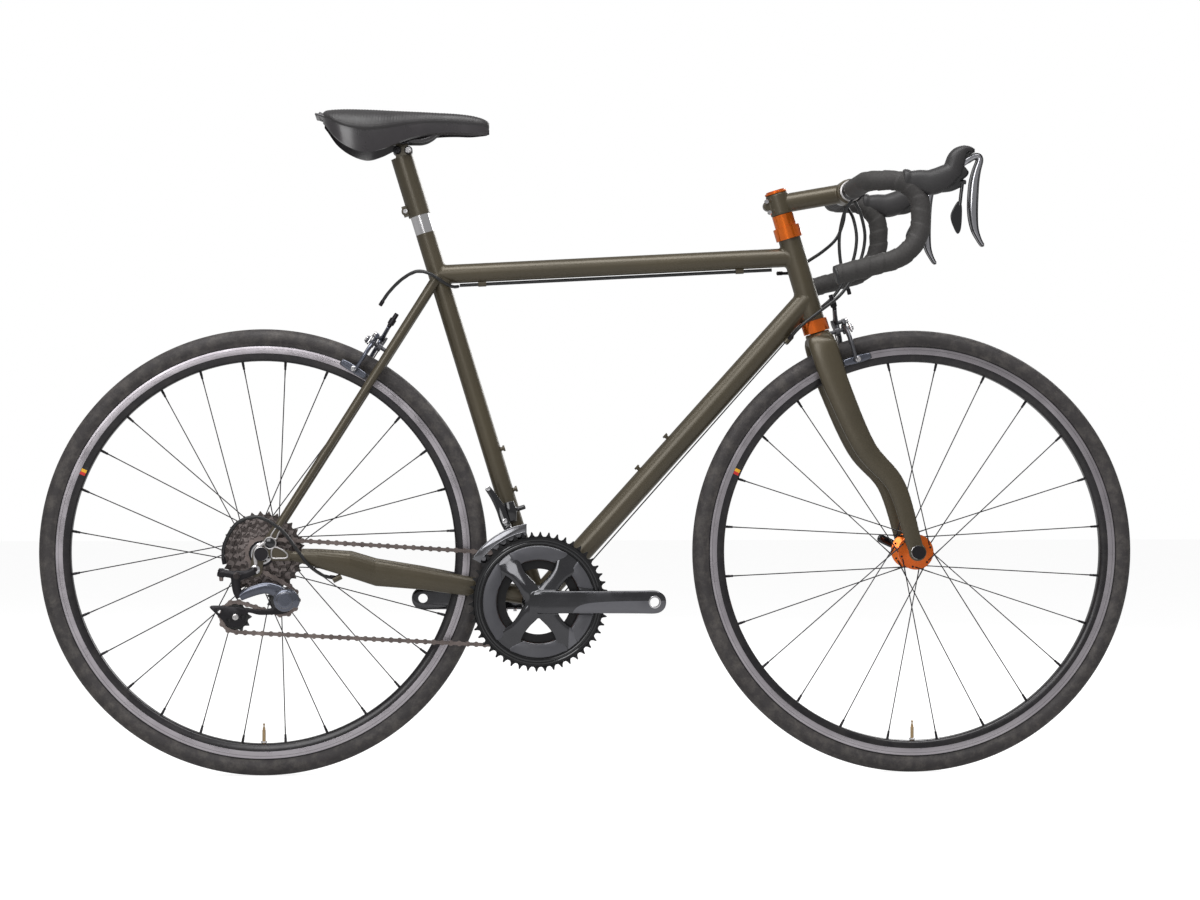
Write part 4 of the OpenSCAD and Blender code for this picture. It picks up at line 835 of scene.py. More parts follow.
def make_ring_tree():
    """Copies of a piece round an axle along Y, each turned to face out."""
    tree, given, out = repeat_tree(
        "pieces_in_a_ring",
        [("Count", "NodeSocketInt", 12), ("Radius", FLOAT, 0.05), ("Phase", FLOAT, 0.0),
         ("Centre", VECTOR, (0, 0, 0))],
    )
    circle = node(tree, "GeometryNodeMeshCircle")
    wire(tree, given.outputs["Count"], circle.inputs["Vertices"])
    wire(tree, given.outputs["Radius"], circle.inputs["Radius"])
    turned = node(tree, "GeometryNodeTransform")
    wire(tree, circle.outputs["Mesh"], turned.inputs["Geometry"])
    upright = node(tree, "ShaderNodeCombineXYZ")
    upright.inputs["X"].default_value = math.pi / 2
    wire(tree, maths(tree, "MULTIPLY", given.outputs["Phase"], -1.0), upright.inputs["Y"])
    wire(tree, upright.outputs["Vector"], turned.inputs["Rotation"])
    wire(tree, given.outputs["Centre"], turned.inputs["Translation"])
    index = node(tree, "GeometryNodeInputIndex")
    step = maths(tree, "DIVIDE", 2 * math.pi, given.outputs["Count"])
    angle = maths(tree, "MULTIPLY", index.outputs["Index"], step)
    whole = maths(tree, "ADD", angle, given.outputs["Phase"])
    euler = node(tree, "ShaderNodeCombineXYZ")
    wire(tree, maths(tree, "MULTIPLY", whole, -1.0), euler.inputs["Y"])
    rotation = node(tree, "FunctionNodeEulerToRotation")
    wire(tree, euler.outputs["Vector"], rotation.inputs["Euler"])
    wire_repeat(tree, turned.outputs["Geometry"], rotation.outputs["Rotation"], given, out)
    return tree


def make_path_tree():
    """Copies of a piece spaced along a path, each turned along it."""
    tree, given, out = repeat_tree("pieces_along_a_path", [("Spacing", FLOAT, 0.004)])
    line = node(tree, "GeometryNodeMeshToCurve")
    wire(tree, given.outputs["Geometry"], line.inputs["Mesh"])
    dots = node(tree, "GeometryNodeCurveToPoints", mode="LENGTH")
    wire(tree, line.outputs["Curve"], dots.inputs["Curve"])
    wire(tree, given.outputs["Spacing"], dots.inputs["Length"])
    wire_repeat(tree, dots.outputs["Points"], dots.outputs["Rotation"], given, out)
    return tree


TREES = {"places": make_places_tree(), "ring": make_ring_tree(), "path": make_path_tree()}


def grown(name, base_mesh, tree_name, shape, material, **values):
    """Runs a repeating tree on a base mesh and keeps the result as a plain mesh object."""
    made = linked(name, base_mesh)
    grower = made.modifiers.new(tree_name, "NODES")
    grower.node_group = TREES[tree_name]
    values.update(Piece=shape, Finish=material)
    for item in TREES[tree_name].interface.items_tree:
        if item.in_out == "INPUT" and item.name.replace(" ", "_") in values:
            grower[item.identifier] = values[item.name.replace(" ", "_")]
    made = settled(made)
    bpy.data.objects.remove(shape)
    smooth_by_angle(made.data, 38.0)
    return made


def on_places(name, places, shape, material, size=1.0):
    """Copies at places of (point in mm, Euler turn)."""
    mesh = bpy.data.meshes.new(name + "_places")
    mesh.from_pydata([tuple(Vector(p) * MM) for p, turn in places], [], [])
    turns = mesh.attributes.new("turn", "FLOAT_VECTOR", "POINT")
    turns.data.foreach_set("vector", [x for p, turn in places for x in turn])
    return grown(name, mesh, "places", shape, material, Size=size)


def in_a_ring(name, count, radius, centre, shape, material, phase=0.0):
    """Copies round an axle along Y. Radius and centre in mm, phase in degrees."""
    mesh = bpy.data.meshes.new(name + "_start")
    mesh.from_pydata([(0, 0, 0)], [], [])
    return grown(name, mesh, "ring", shape, material, Count=count, Radius=radius * MM,
                 Phase=math.radians(phase), Centre=tuple(centre * MM))


def along_path(name, path, spacing, shape, material):
    mesh = bpy.data.meshes.new(name + "_path")
    mesh.from_pydata([tuple(p * MM) for p in path], [(i, i + 1) for i in range(len(path) - 1)], [])
    return grown(name, mesh, "path", shape, material, Spacing=spacing * MM)


def ride(made, body, *nodes, slot=None):
    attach(made, body)
    if nodes:
        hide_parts(*nodes)
    return made


# ---------------------------------------------------------------- wheels
TRACK_IN = RIM_R - 12.4
TRACK_OUT = RIM_R - 2.0
RIM_DEPTH = 24.0
HALF_RIM = 11.0
TYRE_HALF = 13.4
TREAD_BLOCKS = 200
WHEEL_NAMES = {
    "front": dict(at=FRONT_AXLE, body="front_wheel", spokes=24, flanges=(-36.0, 36.0), flange_r=26.8,
                  lean=70.0),
    "rear": dict(at=REAR_AXLE, body="rear_wheel", spokes=28, flanges=(-17.0, 36.0), flange_r=26.0, lean=74.0),
}


def tyre_skin(side, wheel):
    """The tyre, its tread cut with a fine herringbone on both shoulders."""
    middle_r = WHEEL_R - TYRE_HALF
    around = TREAD_BLOCKS * 4
    across = 34
    rings = []
    for i in range(around):
        a = 2 * math.pi * i / around
        ring = []
        for k in range(across):
            b = math.radians(-125 + 250 * k / (across - 1))
            r, y = TYRE_HALF * math.cos(b), TYRE_HALF * math.sin(b)
            shoulder = 18 < abs(math.degrees(b)) < 58
            step = (i + abs(k - across / 2) * 0.9) % 8
            cut = 0.28 if shoulder and step < 2.2 else 0.0
            mould = 0.18 if 70 < abs(math.degrees(b)) < 74 else 0.0
            grow = 1 - cut / TYRE_HALF + mould / TYRE_HALF
            ring.append(wheel["at"] + Vector((math.cos(a) * (middle_r + r * grow), y * grow,
                                              math.sin(a) * (middle_r + r * grow))))
        for y in (9.0, -9.0):
            ring.append(wheel["at"] + Vector((math.cos(a) * (RIM_R - 7.5), y, math.sin(a) * (RIM_R - 7.5))))
        rings.append(ring)
    points, faces = rings_mesh(rings, closed_ring=True, closed_path=True)
    return piece(side + "_tyre_casing", points, faces, M["tyre"], crease=50.0)


def rim_profile():
    """Closed section of the rim: bed, sides, hooks and the wall of the well."""
    bed = RIM_R - RIM_DEPTH
    outer = [(bed, -5.5), (bed + 0.8, -7.6), (bed + 3.5, -9.6), (bed + 8.0, -10.7), (TRACK_IN, -HALF_RIM),
             (TRACK_OUT + 1.2, -HALF_RIM), (RIM_R - 0.3, -10.6), (RIM_R, -10.0), (RIM_R - 1.4, -9.2),
             (RIM_R - 4.0, -9.4), (RIM_R - 8.6, -9.2), (RIM_R - 9.4, -7.0)]
    return outer + [(r, -y) for r, y in reversed(outer)]


def spoke_shape(length):
    """One butted spoke along +Z with its bent head at the foot."""
    path = [Vector((0, 2.6, 0.0)), Vector((0, 0.9, 0.1)), Vector((0, 0.2, 0.9)), Vector((0, 0, 3.0)),
            Vector((0, 0, 22.0)), Vector((0, 0, 30.0)), Vector((0, 0, length - 26)),
            Vector((0, 0, length - 18)),
            Vector((0, 0, length))]
    radii = [1.0, 1.0, 1.0, 1.0, 1.0, 0.82, 0.82, 1.0, 1.0]
    return tube("spoke_shape", path, radii, M["black_anodised"], 8)


def nipple_shape():
    """A spoke nipple along +Z: its round shank and the square that a key turns."""
    path = [Vector((0, 0, z)) for z in (-12.5, -12.0, -7.5, -7.0, -2.0, 0.5)]
    return tube("nipple_shape", path, [1.2, 1.75, 1.75, 2.0, 2.0, 2.6], M["black_anodised"], 10)


def spoke_places(wheel):
    """Foot, heading and length of each spoke, as the frame laces them."""
    half = wheel["spokes"] // 2
    step = 360.0 / half
    places = []
    for side in (0, 1):
        for i in range(half):
            lean = 1 if i % 2 == 0 else -1
            a_rim = math.radians((i + 0.25 + side / 2) * step)
            a_hub = a_rim + math.radians(lean * wheel["lean"])
            y = wheel["flanges"][side] + lean * 2.6
            r = wheel["flange_r"] - 4
            foot = wheel["at"] + Vector((r * math.cos(a_hub), y, r * math.sin(a_hub)))
            end_r = RIM_R - RIM_DEPTH + 1.0
            end = wheel["at"] + Vector((end_r * math.cos(a_rim), y * 0.06, end_r * math.sin(a_rim)))
            places.append((foot, end, lean))
    return places


def frame_turn(z_axis, y_hint):
    """Euler angles with Z along one direction and Y near another."""
    z = Vector(z_axis).normalized()
    x = Vector(y_hint).cross(z).normalized()
    y = z.cross(x)
    return Matrix((x, y, z)).transposed().to_euler()


def lace(side, wheel):
    """Spokes, nipples and the heads in the hub flange."""
    rows = spoke_places(wheel)
    length = (rows[0][1] - rows[0][0]).length
    feet = [(foot, frame_turn(end - foot, (0, -lean, 0))) for foot, end, lean in rows]
    spokes = on_places(side + "_spokes_laced", feet, spoke_shape(length), M["black_anodised"])
    ride(spokes, wheel["body"], side + "_spokes", slot="spoke")
    ends = [(end, frame_turn(end - foot, (0, 1, 0))) for foot, end, lean in rows]
    ride(on_places(side + "_nipples", ends, nipple_shape(), M["black_anodised"]), wheel["body"], slot="spoke")
    heads = []
    for foot, end, lean in rows:
        heads.append((Vector((foot.x, foot.y - lean * 4.6, foot.z)), (math.pi / 2, 0, 0)))
    dot = [Vector((0, 0, z)) for z in (-0.9, -0.6, 0.6, 0.9)]
    shape = tube("head_shape", dot, [0.8, 1.7, 1.7, 0.8], M["black_anodised"], 10)
    ride(on_places(side + "_spoke_heads", heads, shape, M["black_anodised"]), wheel["body"], slot="spoke")


def valve(side, wheel):
    """A slim racing valve: threaded stem, lock ring, needle and its nut."""
    foot = wheel["at"] + Vector((0, 0, -(RIM_R - 14.0)))
    heights = [(0, 3.0), (8.0, 3.0), (8.1, 2.9), (12.0, 2.9), (12.1, 2.6), (30.0, 2.6), (30.4, 2.0),
               (34.0, 2.0),
               (34.4, 1.1), (37.5, 1.1), (37.8, 1.7), (39.6, 1.7), (40.0, 0.9)]
    path = [foot + Vector((0, 0, z)) for z, r in heights]
    stem = tube("valve_stem", path, [r for z, r in heights], M["brass"], 16)
    collar = [foot + Vector((0, 0, z)) for z in (11.0, 11.3, 13.2, 13.6)]
    nut = tube("valve_nut", collar, [4.0, 4.6, 4.6, 3.6], M["polished"], 20)
    return joined(side + "_valve", [stem, nut])


def track_ring(side, wheel, way):
    """The machined brake track, a hair proud of the rim wall."""
    y = way * HALF_RIM
    profile = [(TRACK_IN, y - way * 0.3), (TRACK_IN, y + way * 0.02), (TRACK_IN + 0.4, y + way * 0.08),
               (TRACK_OUT - 0.4, y + way * 0.08), (TRACK_OUT, y + way * 0.02), (TRACK_OUT, y - way * 0.3)]
    return lathe("track", profile, wheel["at"], M["track_" + side], 192)


def wear_line(wheel, way):
    """The shallow wear-mark groove in the brake track, shown as a dark hairline."""
    y = way * (HALF_RIM + 0.085)
    middle_r = (TRACK_IN + TRACK_OUT) / 2 + 1.6
    profile = [(middle_r - 0.18, y - way * 0.1), (middle_r - 0.18, y), (middle_r + 0.18, y),
               (middle_r + 0.18, y - way * 0.1)]
    return lathe("wear", profile, wheel["at"], M["rim_black"], 192)


def stripe_decal(wheel, way):
    """A small decal of three plain bands on the dark rim wall."""
    made = []
    for i, key in enumerate(("black_gloss", "decal_amber", "decal_red")):
        start = 154.0 + i * 0.9
        y = way * (HALF_RIM + 0.03)
        rings = []
        for k in range(4):
            a = math.radians(start + 0.9 * k / 3)
            ring = []
            for r, inset in ((RIM_R - 21.0, 1.2), (RIM_R - 17.5, 0.35), (TRACK_IN - 0.5, 0.0)):
                ring.append(wheel["at"] + Vector((r * math.cos(a), y - way * inset, r * math.sin(a))))
            for r, inset in ((TRACK_IN - 0.5, 0.3), (RIM_R - 21.0, 1.6)):
                ring.append(wheel["at"] + Vector((r * math.cos(a), y - way * inset, r * math.sin(a))))
            rings.append(ring)
        points, faces = rings_mesh(rings)
        made.append(piece("decal", points, faces, M[key], smooth=False))
    return made


def front_hub_shell(wheel):
    """Slim barrel swelling into two drilled flanges, with dust caps."""
    profile = [(5.3, -43.5), (9.6, -43.5), (10.4, -42.8), (10.4, -39.5), (13.0, -38.6), (26.2, -37.8),
               (26.8, -37.2), (26.8, -35.0), (26.0, -34.4), (16.5, -33.6), (11.8, -30.0), (9.6, -22.0),
               (9.0, 0.0)]
    closed = profile + [(r, -y) for r, y in reversed(profile[:-1])]
    shell = lathe("front_hub_shell", closed, wheel["at"], M["orange"], 96)
    return ride(shell, wheel["body"], "front_hub", slot="orange_metal")


def rear_hub_shell(wheel):
    profile = [(5.3, -19.0), (14.0, -19.0), (15.0, -18.8), (25.4, -18.4), (26.0, -17.8), (26.0, -16.0),
               (25.2, -15.4), (18.0, -14.6), (14.0, -10.0), (12.0, 0.0), (12.0, 20.0), (13.0, 29.0),
               (18.0, 34.0), (25.4, 34.6), (26.0, 35.2), (26.0, 37.0), (25.2, 37.6), (15.0, 38.6),
               (11.0, 40.0), (10.6, 56.0), (9.8, 57.5), (5.3, 57.5)]
    shell = lathe("rear_hub_shell", profile, wheel["at"], M["black_anodised"], 96)
    return ride(shell, wheel["body"], "rear_hub", slot="dark_metal")


def make_wheels():
    for side, wheel in WHEEL_NAMES.items():
        body = wheel["body"]
        ride(tyre_skin(side, wheel), body, side + "_tyre", slot="tyre")
        ride(valve(side, wheel), body, slot="fittings")
        ride(lathe(side + "_rim_shell", rim_profile(), wheel["at"], M["rim_black"], 192), body,
             side + "_rim", slot="rim")
        rings = [track_ring(side, wheel, way) for way in (-1, 1)]
        ride(joined(side + "_brake_tracks", rings), body, slot="rim")
        lines = [wear_line(wheel, way) for way in (-1, 1)]
        ride(joined(side + "_wear_lines", lines), body, slot="rim")
        decals = [d for way in (-1, 1) for d in stripe_decal(wheel, way)]
        ride(joined(side + "_rim_decals", decals), body, slot="rim")
        lace(side, wheel)
    front_hub_shell(WHEEL_NAMES["front"])
    rear_hub_shell(WHEEL_NAMES["rear"])


# ---------------------------------------------------------------- frame: fillets where tubes meet
def fillet(name, start, toward, tube_r, host_at, host_dir, host_r, reach=3.4):
    """A hollow brazed fillet where a tube that starts inside a host tube comes out of it."""
    along = (Vector(toward) - Vector(start)).normalized()
    side = along.cross(Vector((0, 1, 0))).normalized()
    other = along.cross(side)
    host_dir = Vector(host_dir).normalized()
    rings = []
    for i in range(64):
        a = 2 * math.pi * i / 64
        out = side * math.cos(a) + other * math.sin(a)
        base = Vector(start) + out * tube_r
        far = base - host_at
        flat = far - host_dir * far.dot(host_dir)
        run = along - host_dir * along.dot(host_dir)
        qa, qb, qc = run.dot(run), 2 * flat.dot(run), flat.dot(flat) - host_r ** 2
        root = max(qb * qb - 4 * qa * qc, 0.0)
        t = (-qb + math.sqrt(root)) / (2 * qa)
        meet = base + along * t
        on_tube = meet + along * reach
        pushed = meet + out * reach
        off = pushed - host_at
        axis_part = host_dir * off.dot(host_dir)
        on_host = host_at + axis_part + (off - axis_part).normalized() * host_r
        centre = (on_tube + on_host) / 2
        hollow = meet + (centre - meet) * 0.55
        sunk = meet - (centre - meet).normalized() * 0.6
        rings.append([on_tube - out * 0.15, hollow, on_host, sunk])
    points, faces = rings_mesh(rings, closed_ring=True, closed_path=True)
    return piece(name, points, faces, M["frame_paint"], crease=80.0)


def make_fillets():
    seat_r, top_r, down_r, head_r, shell_r = TUBE_R
    head_dir = STEER_UP
    made = [
        fillet("fillet", TOP_REAR, TOP_FRONT, top_r, TOP_REAR, SEAT_UP, seat_r),
        fillet("fillet", TOP_FRONT, TOP_REAR, top_r, STEER_FOOT, head_dir, head_r),
        fillet("fillet", DOWN_FRONT, CRANK_AXLE, down_r, STEER_FOOT, head_dir, head_r, 4.0),
        fillet("fillet", CRANK_AXLE, DOWN_FRONT, down_r, CRANK_AXLE, (0, 1, 0), shell_r, 3.0),
        fillet("fillet", CRANK_AXLE, TOP_REAR, seat_r, CRANK_AXLE, (0, 1, 0), shell_r, 3.0),
    ]
    ride(joined("frame_fillets", made), "frame", slot="frame_paint")


# Joint places repeated from the part's source, in mm.
TOP_TUBE_UP = 513.0
HEAD_LOW_UP = 365.0
HEAD_TOP_UP = 494.0
TOP_REAR = on_mast(TOP_TUBE_UP)
TOP_FRONT = on_steer(HEAD_TOP_UP - 29.0)
DOWN_FRONT = on_steer(HEAD_LOW_UP + 34.0)
CROWN_UP = HEAD_LOW_UP - 19.0
STEM_LOW_UP = HEAD_TOP_UP + 38.0
STEM_CLAMP = 33.0


def half_y(name):
    low, high = low_high(name)
    return (high.y - low.y) / 2


TUBE_R = (half_y("seat_tube"), half_y("top_tube"), half_y("down_tube"), half_y("head_tube"), 20.0)


# ---------------------------------------------------------------- fork, stem and bars
def make_fork():
    parts = []
    for side in (1, -1):
        low = on_steer(CROWN_UP - 26)
        stations = [
            (on_steer(CROWN_UP - 9, 1, side * 7), 12, 17),
            (on_steer(CROWN_UP - 14, 1, side * 19), 11, 20),
            (Vector((low.x, side * 28.5, low.z)), 9, 21.5),
            (Vector((low.x + 20, side * 34, low.z - 60)), 9, 20),
            (Vector((low.x + 60, side * 43, low.z - 150)), 8, 17),
            (Vector((FRONT_AXLE.x - 32, side * 50.5, FRONT_AXLE.z + 100)), 6, 14.5),
            (Vector((FRONT_AXLE.x - 6, side * 53, FRONT_AXLE.z + 16)), 4, 12.6),
            (Vector((FRONT_AXLE.x - 1, side * 53.4, FRONT_AXLE.z + 2)), 3.4, 12.0),
        ]
        parts.append(shaped_sweep("blade", stations, M["frame_paint"], (0, side, 0), 28, 8, 2.2))
        y = side * 50.0
        tip = [FRONT_AXLE + Vector((0, y + side * k, 0)) for k in (0.0, 0.5, 6.5, 7.0)]
        parts.append(tube("tip", tip, [12.6, 13.4, 13.4, 12.6], M["frame_paint"], 40))
    crown = [on_steer(CROWN_UP + k) for k in (-24, -18, -2, -0.3)]
    parts.append(tube("crown", crown, [12, 18.0, 19.0, 18.4], M["frame_paint"], 40))
    made = fused("fork_casting", parts, 1.7, 6, M["frame_paint"])
    ride(made, "steering", "fork", slot="frame_paint")


def make_stem():
    low = on_steer(STEM_LOW_UP)
    top = on_steer(STEM_LOW_UP + STEM_CLAMP)
    middle_at = (low + top) / 2
    ahead = (BAR_AT - middle_at).normalized()
    paint = M["frame_paint"]
    parts = [
        tube("clamp", [low + STEER_UP * k for k in (0.3, 1.2, 32.0, 33.0)], [16.2, 17.0, 17.0, 16.2], paint,
             48),
        tube("reach", smooth_path([middle_at, middle_at + ahead * 40, BAR_AT - ahead * 22,
                                   BAR_AT - ahead * 8], 6),
             14.4, paint, 40),
        tube("bar_seat", [BAR_AT - ahead * 1.5 + Vector((0, y, 0)) for y in (-22.0, -21.0, 21.0, 22.0)],
             [17.5, 18.6, 18.6, 17.5], paint, 48),
        tube("rear_ear", [middle_at - ahead * 17 + Vector((0, y, 0)) for y in (-9.5, -8.5, 8.5, 9.5)],
             [7.2, 8.0, 8.0, 7.2], paint, 24),
    ]
    made = fused("stem_forging", parts, 0.9, 8, paint)
    ride(made, "steering", "stem", slot="frame_paint")
    cap = [top + STEER_UP * k for k in (0.0, 0.4, 2.6, 3.4, 3.5)]
    lid = tube("stem_top_cap", cap, [16.4, 17.2, 17.2, 15.6, 0.4], M["orange"], 48)
    ride(lid, "steering", slot="orange_metal")
    bolts = []
    for up in (8.0, 25.0):
        head = low + STEER_UP * up - STEER_FORWARD * 19.0
        bolts.append(socket_bolt(head + Vector((0, -12.0, 0)), (0, -1, 0), 3.4, 3.2, M["polished"]))
    for up in (-8.5, 8.5):
        for y in (-15.0, 15.0):
            head = BAR_AT + ahead * 17.0 + STEER_UP * up + Vector((0, y, 0))
            bolts.append(socket_bolt(head, ahead, 3.2, 3.0, M["black_anodised"]))
    ride(joined("stem_bolts", bolts), "steering", slot="dark_metal")
    plate_parts = [tube("face", [BAR_AT + ahead * 1.5 + Vector((0, y, 0)) for y in (-21.5, -20.5, 20.5,
                                                                                    21.5)],
                        [17.9, 18.9, 18.9, 17.9], M["black_anodised"], 48)]
    for up in (-8.5, 8.5):
        lug = [BAR_AT + ahead * k + STEER_UP * up for k in (2.0, 15.0, 16.5)]
        for y in (-15.0, 15.0):
            plate_parts.append(tube("lug", [p + Vector((0, y, 0)) for p in lug], [5.2, 5.2, 4.6],
                                    M["black_anodised"], 20))
    ride(fused("stem_face_plate", plate_parts, 0.9, 4, M["black_anodised"]), "steering", "stem_hardware",
         slot="dark_metal")


def socket_bolt(at, out, radius, height, material):
    """A cap screw seen from outside, with a hexagon socket."""
    out = Vector(out).normalized()
    side = out.orthogonal().normalized()
    other = out.cross(side)

    def ring(r, up, sides, count):
        points = []
        for i in range(count):
            a = 2 * math.pi * i / count
            r_here = r
            if sides:
                sector = (a % (2 * math.pi / sides)) - math.pi / sides
                r_here = r * math.cos(math.pi / sides) / math.cos(sector)
            points.append(at + side * r_here * math.cos(a) + other * r_here * math.sin(a) + out * up)
        return points

    rings = [ring(radius, -1.0, 0, 24), ring(radius, height * 0.82, 0, 24),
             ring(radius * 0.86, height, 0, 24),
             ring(radius * 0.56, height, 6, 24), ring(radius * 0.52, height * 0.35, 6, 24)]
    points, faces = rings_mesh(rings)
    return piece("bolt", points, faces, material, crease=30.0)


SIDE_BEND = 35.0
TOP_BEND = 42.0
LOW_BEND = 60.0
DROP_STRAIGHT = 17.0
DROP_SWEEP = 75.0
DROP_TAIL = 80.0
TAPE_START = 66.0
BAR_R = 12.0
TAPE_R = 14.3


def arc(centre, first, second, radius, degrees, steps):
    points = []
    for i in range(1, steps + 1):
        a = math.radians(degrees) * i / steps
        points.append(centre + (first * math.cos(a) + second * math.sin(a)) * radius)
    return points


def bar_line(side, start, step=1.6):
    """The middle line of one half of the handlebar, from the tops to the end of the drop."""
    x, y, z = Vector((1, 0, 0)), Vector((0, side, 0)), Vector((0, 0, 1))
    points = []
    reach = HALF_BAR - SIDE_BEND
    count = int((reach - start) / step)
    for i in range(count + 1):
        points.append(BAR_AT + y * (start + (reach - start) * i / count))
    points += arc(BAR_AT + x * SIDE_BEND + y * reach, -x, y, SIDE_BEND, 90, int(SIDE_BEND * 1.57 / step))
    points += arc(BAR_AT + x * SIDE_BEND + y * HALF_BAR - z * TOP_BEND, z, x, TOP_BEND, 90,
                  int(TOP_BEND * 1.57 / step))
    knee = BAR_AT + x * (SIDE_BEND + TOP_BEND) + y * HALF_BAR - z * TOP_BEND
    for i in range(1, 11):
        points.append(knee - z * DROP_STRAIGHT * i / 10)
    low = knee - z * DROP_STRAIGHT - x * LOW_BEND
    points += arc(low, x, -z, LOW_BEND, DROP_SWEEP, int(LOW_BEND * 1.31 / step))
    a = math.radians(DROP_SWEEP)
    tail = Vector((-math.sin(a), 0, -math.cos(a)))
    start_at = points[-1]
    count = int(DROP_TAIL / step)
    for i in range(1, count + 1):
        points.append(start_at + tail * DROP_TAIL * i / count)
    return points


TAPE_PITCH = 21.0


def wrapped_tape(side):
    """Tape wound round the bar: each turn laps the one before with a rounded edge."""
    path = bar_line(side, TAPE_START)
    ahead, sides = directions(path)
    run = [0.0]
    for i in range(1, len(path)):
        run.append(run[-1] + (path[i] - path[i - 1]).length)
    rings = []
    count = 36
    for i, p in enumerate(path):
        up = ahead[i].cross(sides[i])
        ring = []
        for k in range(count):
            a = 2 * math.pi * k / count
            lap = (run[i] / TAPE_PITCH - side * k / count) % 1.0
            edge = min(1.0, lap / 0.09)
            lift = (1 - lap) * 1.15 * edge * (2 - edge) + 0.1 * math.sin(run[i] * 0.9 + k)
            r = TAPE_R - 0.35 + lift
            if i == 0 or i == len(path) - 1:
                r -= 0.5
            ring.append(p + sides[i] * r * math.cos(a) + up * r * math.sin(a))
        rings.append(ring)
    points, faces = rings_mesh(rings)
    return piece("tape", points, faces, M["tape"], crease=70.0)


def bar_plug(side):
    path = bar_line(side, TAPE_START)
    end, ahead = path[-1], (path[-1] - path[-2]).normalized()
    line = [end + ahead * k for k in (-1.0, 0.2, 2.6, 3.8, 4.0)]
    return tube("plug", line, [12.0, 14.2, 14.0, 11.5, 6.0], M["black_plastic"], 32)


def finishing_band(side):
    """Glossy tape that closes the wrap beside the stem."""
    line = [BAR_AT + Vector((0, side * (TAPE_START + k), 0)) for k in (-9.0, -8.6, 3.6, 4.0)]
    return tube("band", line, [BAR_R + 0.3, TAPE_R - 0.4, TAPE_R + 0.5, TAPE_R], M["black_gloss"], 40)


def bar_rings():
    """Pale bands on the bulge of the bar beside the stem."""
    made = []
    for side in (-1, 1):
        for y in (25.5, 28.5, 31.5):
            line = [BAR_AT + Vector((0, side * (y + k), 0)) for k in (0.0, 0.2, 1.2, 1.4)]
            made.append(tube("ring", line, [15.4, 16.0, 16.0, 15.4], M["brushed"], 48))
    return joined("handlebar_rings", made)


def make_bars():
    for side, name in ((1, "left"), (-1, "right")):
        ride(wrapped_tape(side), "steering", "bar_tape", slot="bar_tape").name = name + "_bar_tape"
        ride(bar_plug(side), "steering", slot="black_plastic").name = name + "_bar_plug"
        ride(finishing_band(side), "steering", slot="black_plastic").name = name + "_finishing_tape"
    ride(bar_rings(), "steering", slot="dark_metal")


# ---------------------------------------------------------------- hoods, levers and shift paddles
def at_hood(side, x, z, y=0.0):
    return Vector((BAR_AT.x + x, side * HALF_BAR + y, BAR_AT.z + z))


def hood(side):
    body = [(52, 2, 13.5, 10), (62, 0, 15.5, 14), (76, -1, 16.5, 16.5), (90, -3, 17.5, 18.5),
            (104, 1, 17.6, 18.5),
            (117, 8, 17, 16.5), (127, 12, 15.5, 12), (133, 14, 12.5, 8)]
    horn = [(122, 8, 16, 15), (125, 19, 15.8, 14.2), (129, 31, 15.4, 13.6), (134, 39, 14, 11.4),
            (141, 44.5, 11.5, 7.2), (149, 45.4, 9, 4.2), (156, 43.8, 5, 1.8)]
    parts = []
    for row in (body, horn):
        stations = [(at_hood(side, x, z), w, h) for x, z, w, h in row]
        parts.append(shaped_sweep("part", stations, M["hood"], (0, 1, 0), 32, 6, 2.4))
    lip = [(at_hood(side, 51, 2), 15.6, 13.5), (at_hood(side, 55, 2), 16.2, 14.6),
           (at_hood(side, 59, 1), 15.6, 13.5)]
    parts.append(shaped_sweep("lip", lip, M["hood"], (0, 1, 0), 32, 4, 2.2))
    return fused("hood", parts, 1.1, 12, M["hood"])


def lever_body(side):
    """The moulded bracket between the hood's horn and the lever."""
    parts = [
        shaped_sweep("shell", [(at_hood(side, 112, 2), 11, 12), (at_hood(side, 126, 8), 11, 12),
                               (at_hood(side, 137, 14), 9.5, 11), (at_hood(side, 142, 18), 7, 8)],
                     M["black_plastic"], (0, 1, 0), 28, 5, 2.8),
        shaped_sweep("chin", [(at_hood(side, 104, -10), 9, 8), (at_hood(side, 120, -8), 9, 8),
                              (at_hood(side, 134, -4), 7, 6)], M["black_plastic"], (0, 1, 0), 24, 5, 2.6),
        shaped_sweep("brow", [(at_hood(side, 136, 30), 8, 5), (at_hood(side, 148, 40), 7, 3),
                              (at_hood(side, 156, 42), 4, 1.2)], M["black_plastic"], (0, 1, 0), 20, 5, 2.4),
    ]
    return fused("lever_bracket", parts, 1.0, 3, M["black_plastic"])


LEVER_LINE = [(134, 22, 5.0, 5.0), (144, 29, 6.5, 4.8), (153, 34, 7.6, 4.4), (160, 35, 8.2, 4.0),
              (162.5, 29, 8.6, 4.2),
              (158, 14, 9.0, 5.2), (154.5, -4, 9.0, 6.2), (152.8, -28, 8.8, 6.6), (152.8, -50, 8.2, 6.2),
              (155.5, -70, 7.4, 4.6), (161, -84, 6.6, 3.0), (166, -92.5, 5.6, 2.4), (168.5, -93.5, 4.6, 1.8)]


def lever_blade(side):
    stations = [(at_hood(side, x, z), w, h) for x, z, w, h in LEVER_LINE]
    # The blade's bright metal face is a painted reflection: the lever itself is gloss black.
    return shaped_sweep("blade", stations, M["lever_face"], (0, 1, 0), 28, 6, 3.0)


